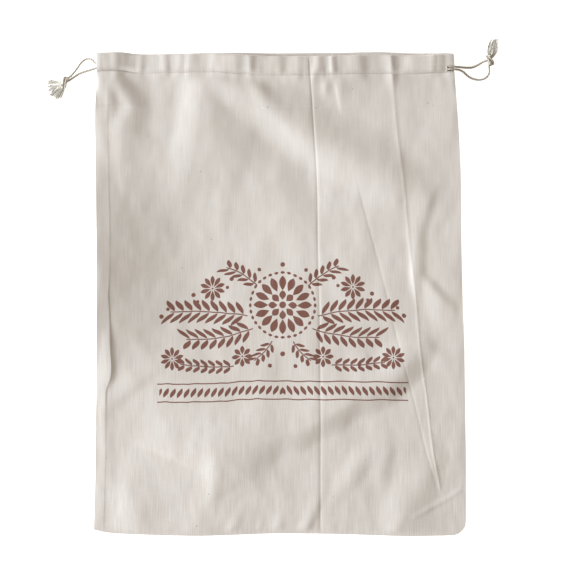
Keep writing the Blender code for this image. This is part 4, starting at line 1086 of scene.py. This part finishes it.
# %% Folk pattern
PRINT_CENTRE = (3.0, -263.0)
INK_EDGE = 0.35
LEAF_SLANT = 0.85
LEAF_WIDTH = 0.36
STEM = 0.55
FLOWERS = (
    # centre x, y, petals, middle of the petals, reach, width in petals
    (0, 22, 16, 20.5, 7.0, 0.40), (0, 22, 8, 9.2, 4.4, 0.42), (0, 22, 32, 30.5, 1.4, 0.34),
    (66, 40, 10, 6.6, 5.4, 0.42), (104, -26, 10, 6.2, 5.0, 0.42), (38, -26, 8, 5.6, 4.4, 0.42),
)
DOTS = (
    # centre x, y, radius
    (0, 22, 3.2), (66, 40, 0.9), (104, -26, 0.9), (38, -26, 0.9), (48, 48, 2.0), (52, 40.5, 1.6),
    (84, 34, 2.0), (80, 27.5, 1.6), (114, 14, 2.1), (108, 20.5, 1.7), (72, -33, 2.0), (80, -31, 1.6),
    (12, -35, 1.9), (0, -24, 2.3), (0, 60, 2.2), (22, 55, 1.8),
)
SPRIGS = (
    # root x, y, direction, length, leaf pairs, leaf length, bend
    (33, 12, 14, 72, 9, 12.0, -0.16), (28, 0, -18, 62, 8, 11.0, 0.20), (24, 40, 46, 34, 5, 8.5, -0.22),
    (10, -12, -62, 24, 4, 7.5, 0.25), (46, -34, -2, 50, 7, 7.0, 0.10),
)
BORDERS = (
    # height y, half length, repeats in 1 mm, middle of the leaf, reach, width
    (-58, 116, 0.155, 0.0, 4.6, 0.34),
)
LINES = (
    # height y, half length, half thickness
    (-49.5, 118, 0.55), (-66.5, 118, 0.55),
)


def sum_up(tree, operation, *terms):
    """Chain of one math operation over all the terms."""
    total = terms[0]
    for term in terms[1:]:
        total = calc(tree, operation, total, term)
    return total


def inked(tree, inside):
    """Mask of the places where a distance in millimetres is above zero, with a soft edge."""
    return calc(tree, "MULTIPLY_ADD", inside, 1 / INK_EDGE, 0.5, use_clamp=True)


def leaf_row(tree, along, across, middle, reach, width, pitch):
    """Row of lenses: one for each whole step of along, with their length in the direction of across."""
    near = calc(tree, "WRAP", along, 0.5, -0.5)
    near = calc(tree, "ABSOLUTE", near)
    off = calc(tree, "MULTIPLY_ADD", across, 1 / reach, -middle / reach)
    square = calc(tree, "MULTIPLY", off, off)
    limit = calc(tree, "MULTIPLY_ADD", square, -width, width)
    inside = calc(tree, "SUBTRACT", limit, near)
    return calc(tree, "MULTIPLY", inside, pitch)


def moved_to(tree, place, x, y, turn=0.0):
    return add_node(tree, "ShaderNodeMapping", {"Vector": place, "Location": (x, y, 0),
                                                "Rotation": (0, 0, radians(turn))}, vector_type="TEXTURE")


def folk_pattern(tree, place):
    """Mask of the ink, 1 where the cloth is printed."""
    print_mm = add_node(tree, "ShaderNodeMapping", {
        "Vector": place, "Location": (-PRINT_CENTRE[0], -PRINT_CENTRE[1], 0), "Scale": (1 / MM, 1 / MM, 1)})
    parts = add_node(tree, "ShaderNodeSeparateXYZ", {"Vector": print_mm})
    half = calc(tree, "ABSOLUTE", parts.outputs["X"])
    mirrored = add_node(tree, "ShaderNodeCombineXYZ", {"X": half, "Y": parts.outputs["Y"]})
    inside = []
    for x, y, petals, middle, reach, width in FLOWERS:
        own = moved_to(tree, mirrored, x, y)
        radius = add_node(tree, "ShaderNodeVectorMath", {0: own}, operation="LENGTH").outputs["Value"]
        split = add_node(tree, "ShaderNodeSeparateXYZ", {"Vector": own})
        angle = calc(tree, "ARCTAN2", split.outputs["X"], split.outputs["Y"])
        along = calc(tree, "MULTIPLY", angle, petals / (2 * pi))
        inside.append(leaf_row(tree, along, radius, middle, reach, width, 2 * pi * middle / petals))
    for x, y, radius in DOTS:
        own = moved_to(tree, mirrored, x, y)
        away = add_node(tree, "ShaderNodeVectorMath", {0: own}, operation="LENGTH").outputs["Value"]
        inside.append(sum_up(tree, "SUBTRACT", radius, away))
    for x, y, turn, length, pairs, leaf, bend in SPRIGS:
        own = add_node(tree, "ShaderNodeSeparateXYZ", {"Vector": moved_to(tree, mirrored, x, y, turn)})
        on, off = own.outputs["X"], own.outputs["Y"]
        curve = calc(tree, "MULTIPLY", on, on)
        off = calc(tree, "MULTIPLY_ADD", curve, -bend / length, off)
        off = calc(tree, "ABSOLUTE", off)
        slant = calc(tree, "MULTIPLY_ADD", off, -LEAF_SLANT, on)
        along = calc(tree, "MULTIPLY_ADD", slant, pairs / length, 0.5)
        leaves = leaf_row(tree, along, off, leaf * 0.5, leaf * 0.45, LEAF_WIDTH, length / pairs)
        ahead = sum_up(tree, "SUBTRACT", length, slant)
        beside = sum_up(tree, "SUBTRACT", STEM, off)
        stem = sum_up(tree, "MINIMUM", beside, sum_up(tree, "SUBTRACT", length, on))
        grown = sum_up(tree, "MINIMUM", leaves, slant, ahead)
        inside.append(sum_up(tree, "MAXIMUM", grown, sum_up(tree, "MINIMUM", stem, on)))
    for y, reach, repeats, middle, leaf, width in BORDERS:
        along = calc(tree, "MULTIPLY", half, repeats)
        up = calc(tree, "SUBTRACT", parts.outputs["Y"], y)
        slanted = calc(tree, "MULTIPLY_ADD", up, repeats * 0.5, along)
        row = leaf_row(tree, slanted, up, middle, leaf, width, 1 / repeats)
        inside.append(sum_up(tree, "MINIMUM", row, sum_up(tree, "SUBTRACT", reach, half)))
    for y, reach, thickness in LINES:
        up = calc(tree, "SUBTRACT", parts.outputs["Y"], y)
        up = calc(tree, "ABSOLUTE", up)
        inside.append(sum_up(tree, "MINIMUM", sum_up(tree, "SUBTRACT", thickness, up),
                             sum_up(tree, "SUBTRACT", reach, half)))
    return inked(tree, sum_up(tree, "MAXIMUM", *inside))


linen = linen_finish("natural linen, washed")
printed_linen = linen_finish("natural linen with a soaked-in print", folk_pattern)
front_cloth = cloth_shell("front_cloth", front_middle, front_fold_row, "upper", printed_linen)
back_cloth = cloth_shell("back_cloth", back_middle, back_fold_row, "lower", linen)

# %% [markdown]
# ## The cords inside the casing
# Both drawcords run once round the mouth: through the front channel, round its far end and back
# through the other channel. Little of them shows, but the two that cross the slot at the right end do.
# The left cord starts and ends at the left slot, and the right cord at the right one.

# %% Held drawcords
FRONT_STRAND_LIFT = 1.8
BACK_STRAND_Z = 2.3
CHANNEL_TOP_Y = 227.0
NEAR_FOLD = 6.0
NEAR_STITCHES = 11.5
RUN_STEP = 11.0
TURN_ANGLES = (-60, -30, 0, 30, 60)
HELD_CORDS = {
    # nearest x, turning x, direction, distance of the front and back run below the top, ends' leads
    "left": (-166.0, 145.5, 1, NEAR_FOLD, NEAR_STITCHES,
             ((-172.4, 216.4, 5.2), (-170.9, 217.0, 5.7), (-168.6, 219.0, 6.3)),
             ((-169.6, 214.6, 2.4), (-171.2, 213.7, 2.4), (-172.4, 213.2, 2.3))),
    "right": (146.0, -163.0, -1, NEAR_STITCHES, NEAR_FOLD,
              ((156.4, 213.9, 7.6), (155.2, 214.0, 7.2), (151.5, 214.8, 7.1)),
              ((149.0, 220.2, 2.6), (152.2, 216.6, 3.9), (155.0, 212.3, 5.6), (156.6, 211.45, 7.1))),
}


def channel_point(x, front, below):
    z = float(hem_level(x)) + FRONT_STRAND_LIFT if front else BACK_STRAND_Z
    return x, CHANNEL_TOP_Y - below, z


def held_route(side):
    near_x, turn_x, direction, front_below, back_below, first, last = HELD_CORDS[side]
    steps = round(abs(turn_x - near_x) / RUN_STEP)
    xs = np.linspace(near_x, turn_x, steps + 1)
    front = Vector(channel_point(turn_x, True, front_below))
    back = Vector(channel_point(turn_x, False, back_below))
    centre, radius = (front + back) / 2, (front - back).length / 2
    turn = []
    for angle in TURN_ANGLES:
        outward = Vector((direction * radius * cos(radians(angle)), 0, 0))
        turn.append(tuple(centre + (front - centre) * sin(radians(-angle)) + outward))
    return [*first, *[channel_point(x, True, front_below) for x in xs], *turn,
            *[channel_point(x, False, back_below) for x in xs[::-1]], *last]


held_cords = {}
for side, material in (("left", cotton), ("right", painted_shade_cotton)):
    line = smooth_route(held_route(side), 2.0)
    held_cords[side] = spin(f"{side}_drawcord_in_casing", [line], material, step=1.2, sides=6)
    print(f"{side} drawcord in the casing: {length_of(line):.0f} mm")

# %% [markdown]
# ## Stitches
# A lockstitch holds the casing down. Each stitch is a short length of thread that sinks into the cloth
# at both ends, so a long slim ellipsoid draws it well. The tree walks along the stitched line and puts
# one ellipsoid every 3 mm.

# %% Lockstitch
STITCH_SOCKETS = (
    # name, kind of socket
    ("Line", "NodeSocketGeometry"), ("Spacing", "NodeSocketFloat"), ("Thread", "NodeSocketFloat"),
    ("Long", "NodeSocketFloat"), ("Finish", "NodeSocketMaterial"),
)
STITCH_SPACING = 3.0
STITCH_LENGTH = 2.3
THREAD = 0.42
FRONT_STITCHED = slice(4, -3)
BACK_STITCHED = slice(2, -2)
FRONT_SINK = 0.05
BACK_SINK = 0.1


def make_stitch_tree():
    tree, keys, given = make_tree("lockstitch", STITCH_SOCKETS)
    line = add_node(tree, "GeometryNodeMeshToCurve", {"Mesh": given["Line"]})
    spots = add_node(tree, "GeometryNodeCurveToPoints", {"Curve": line, "Length": given["Spacing"]},
                     mode="LENGTH")
    grain = add_node(tree, "GeometryNodeMeshUVSphere", {"Segments": 6, "Rings": 5, "Radius": 0.5})
    thick = given["Thread"]
    size = add_node(tree, "ShaderNodeCombineXYZ", {"X": thick, "Y": thick, "Z": given["Long"]})
    stitch = add_node(tree, "GeometryNodeTransform", {"Geometry": grain, "Scale": size})
    row = add_node(tree, "GeometryNodeInstanceOnPoints", {
        "Points": spots, "Instance": stitch, "Rotation": spots.outputs["Rotation"]})
    finish_tree(tree, row, given["Finish"])
    return tree, keys


STITCHES = make_stitch_tree()
# The thread's darker ecru is partly its own colour and partly painted shade for the stitched line's shadow.
thread = cotton_finish("polyester sewing thread", "#C4B5A8", "#B09E90")


def sew(name, row, lift):
    points = (row + np.array((0.0, 0.0, lift))) * MM
    edges = [(k, k + 1) for k in range(len(points) - 1)]
    return grow(name, STITCHES, points, edges, {
        "Spacing": STITCH_SPACING * MM, "Thread": THREAD * MM, "Long": STITCH_LENGTH * MM, "Finish": thread})


front_stitches = sew("front_casing_stitches", front_middle[front_stitch_row][FRONT_STITCHED],
                     THICKNESS / 2 - FRONT_SINK)
back_stitches = sew("back_casing_stitches", back_middle[back_stitch_row][BACK_STITCHED],
                    -THICKNESS / 2 + BACK_SINK)

# %% [markdown]
# ## Flax flecks
# A few bits of straw stay in the yarn and show as dark specks. They are small closed lenses that lie
# in the weave.

# %% Flecks
FLECKS = (
    # x, y, length, width, direction
    (-10.8, 175.6, 2.0, 1.2, 20), (139.6, 179.4, 1.8, 0.9, 70), (-91.7, 24.3, 1.6, 0.9, 110),
    (-77.6, -218.2, 1.6, 0.8, 40), (-66.3, -188.2, 1.5, 0.8, 80), (50.3, -191.0, 2.2, 0.9, 95),
)
FLECK_SIDES = 10
FLECK_RIM = 0.05
FLECK_RISE = 0.12
FLECK_ROOT = 0.2
straw = cotton_finish("flax straw", "#6E5644", "#4F3D30")


def flax_flecks():
    points, faces = [], []
    grid = front_middle[:front_stitch_row].reshape(-1, 3)
    for x, y, length, width, turn in FLECKS:
        nearest = grid[np.argmin(np.hypot(grid[:, 0] - x, grid[:, 1] - y))]
        z = nearest[2] + THICKNESS / 2
        first = len(points)
        ring = [2 * pi * k / FLECK_SIDES for k in range(FLECK_SIDES)]
        along = np.array((cos(radians(turn)), sin(radians(turn))))
        across = np.array((-along[1], along[0]))
        for angle in ring:
            spot = along * length / 2 * cos(angle) + across * width / 2 * sin(angle)
            points.append(((x + spot[0]) * MM, (y + spot[1]) * MM, (z - FLECK_RIM) * MM))
        points += [(x * MM, y * MM, height * MM) for height in (z + FLECK_RISE, z - FLECK_ROOT)]
        for k in range(FLECK_SIDES):
            after = first + (k + 1) % FLECK_SIDES
            faces += [(first + k, after, first + FLECK_SIDES), (after, first + k, first + FLECK_SIDES + 1)]
    mesh = bpy.data.meshes.new("flax_flecks")
    mesh.from_pydata(points, [], faces)
    mesh.materials.append(straw)
    return put("flax_flecks", mesh)


flecks = flax_flecks()

# %% [markdown]
# ## The floor
# A plain white tabletop, bright enough to stay white round the bag.

# %% Floor
FLOOR_SIZE = 6.0
FLOOR_Z = -0.3
floor_mesh = bpy.data.meshes.new("tabletop")
half = FLOOR_SIZE / 2
corners = [(x * half, y * half, 0) for x, y in ((-1, -1), (1, -1), (1, 1), (-1, 1))]
floor_mesh.from_pydata(corners, [], [(0, 1, 2, 3)])
floor = put("tabletop", floor_mesh)
floor.location.z = FLOOR_Z * MM
white, tree, surface = new_finish("white tabletop")
surface.inputs["Base Color"].default_value = linear("#F2F2F2")
surface.inputs["Roughness"].default_value = 0.9
surface.inputs["Emission Color"].default_value = (1, 1, 1, 1)
surface.inputs["Emission Strength"].default_value = 0.7
floor_mesh.materials.append(white)

# %% [markdown]
# ## What stands for what
# Each piece takes the place of its solid and stays on the one body. Cords and sheets are declared with
# their real lengths and sizes, so that they can be checked.

# %% Declarations
for side in ("left", "right"):
    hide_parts(f"{side}_drawcord")
    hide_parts(f"{side}_knot")
    for lie in ("front", "back"):
        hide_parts(f"{side}_{lie}_strand")
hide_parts("front_panel")
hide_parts("back_panel")

cotton_pieces = [*strands.values(), *knots.values(), *tails.values(), *held_cords.values()]
linen_pieces = [front_cloth, back_cloth, front_stitches, back_stitches, flecks]
for piece in cotton_pieces + linen_pieces:
    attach(piece, "root")

for name, line in strand_lines.items():
    side = name.split("_")[0]
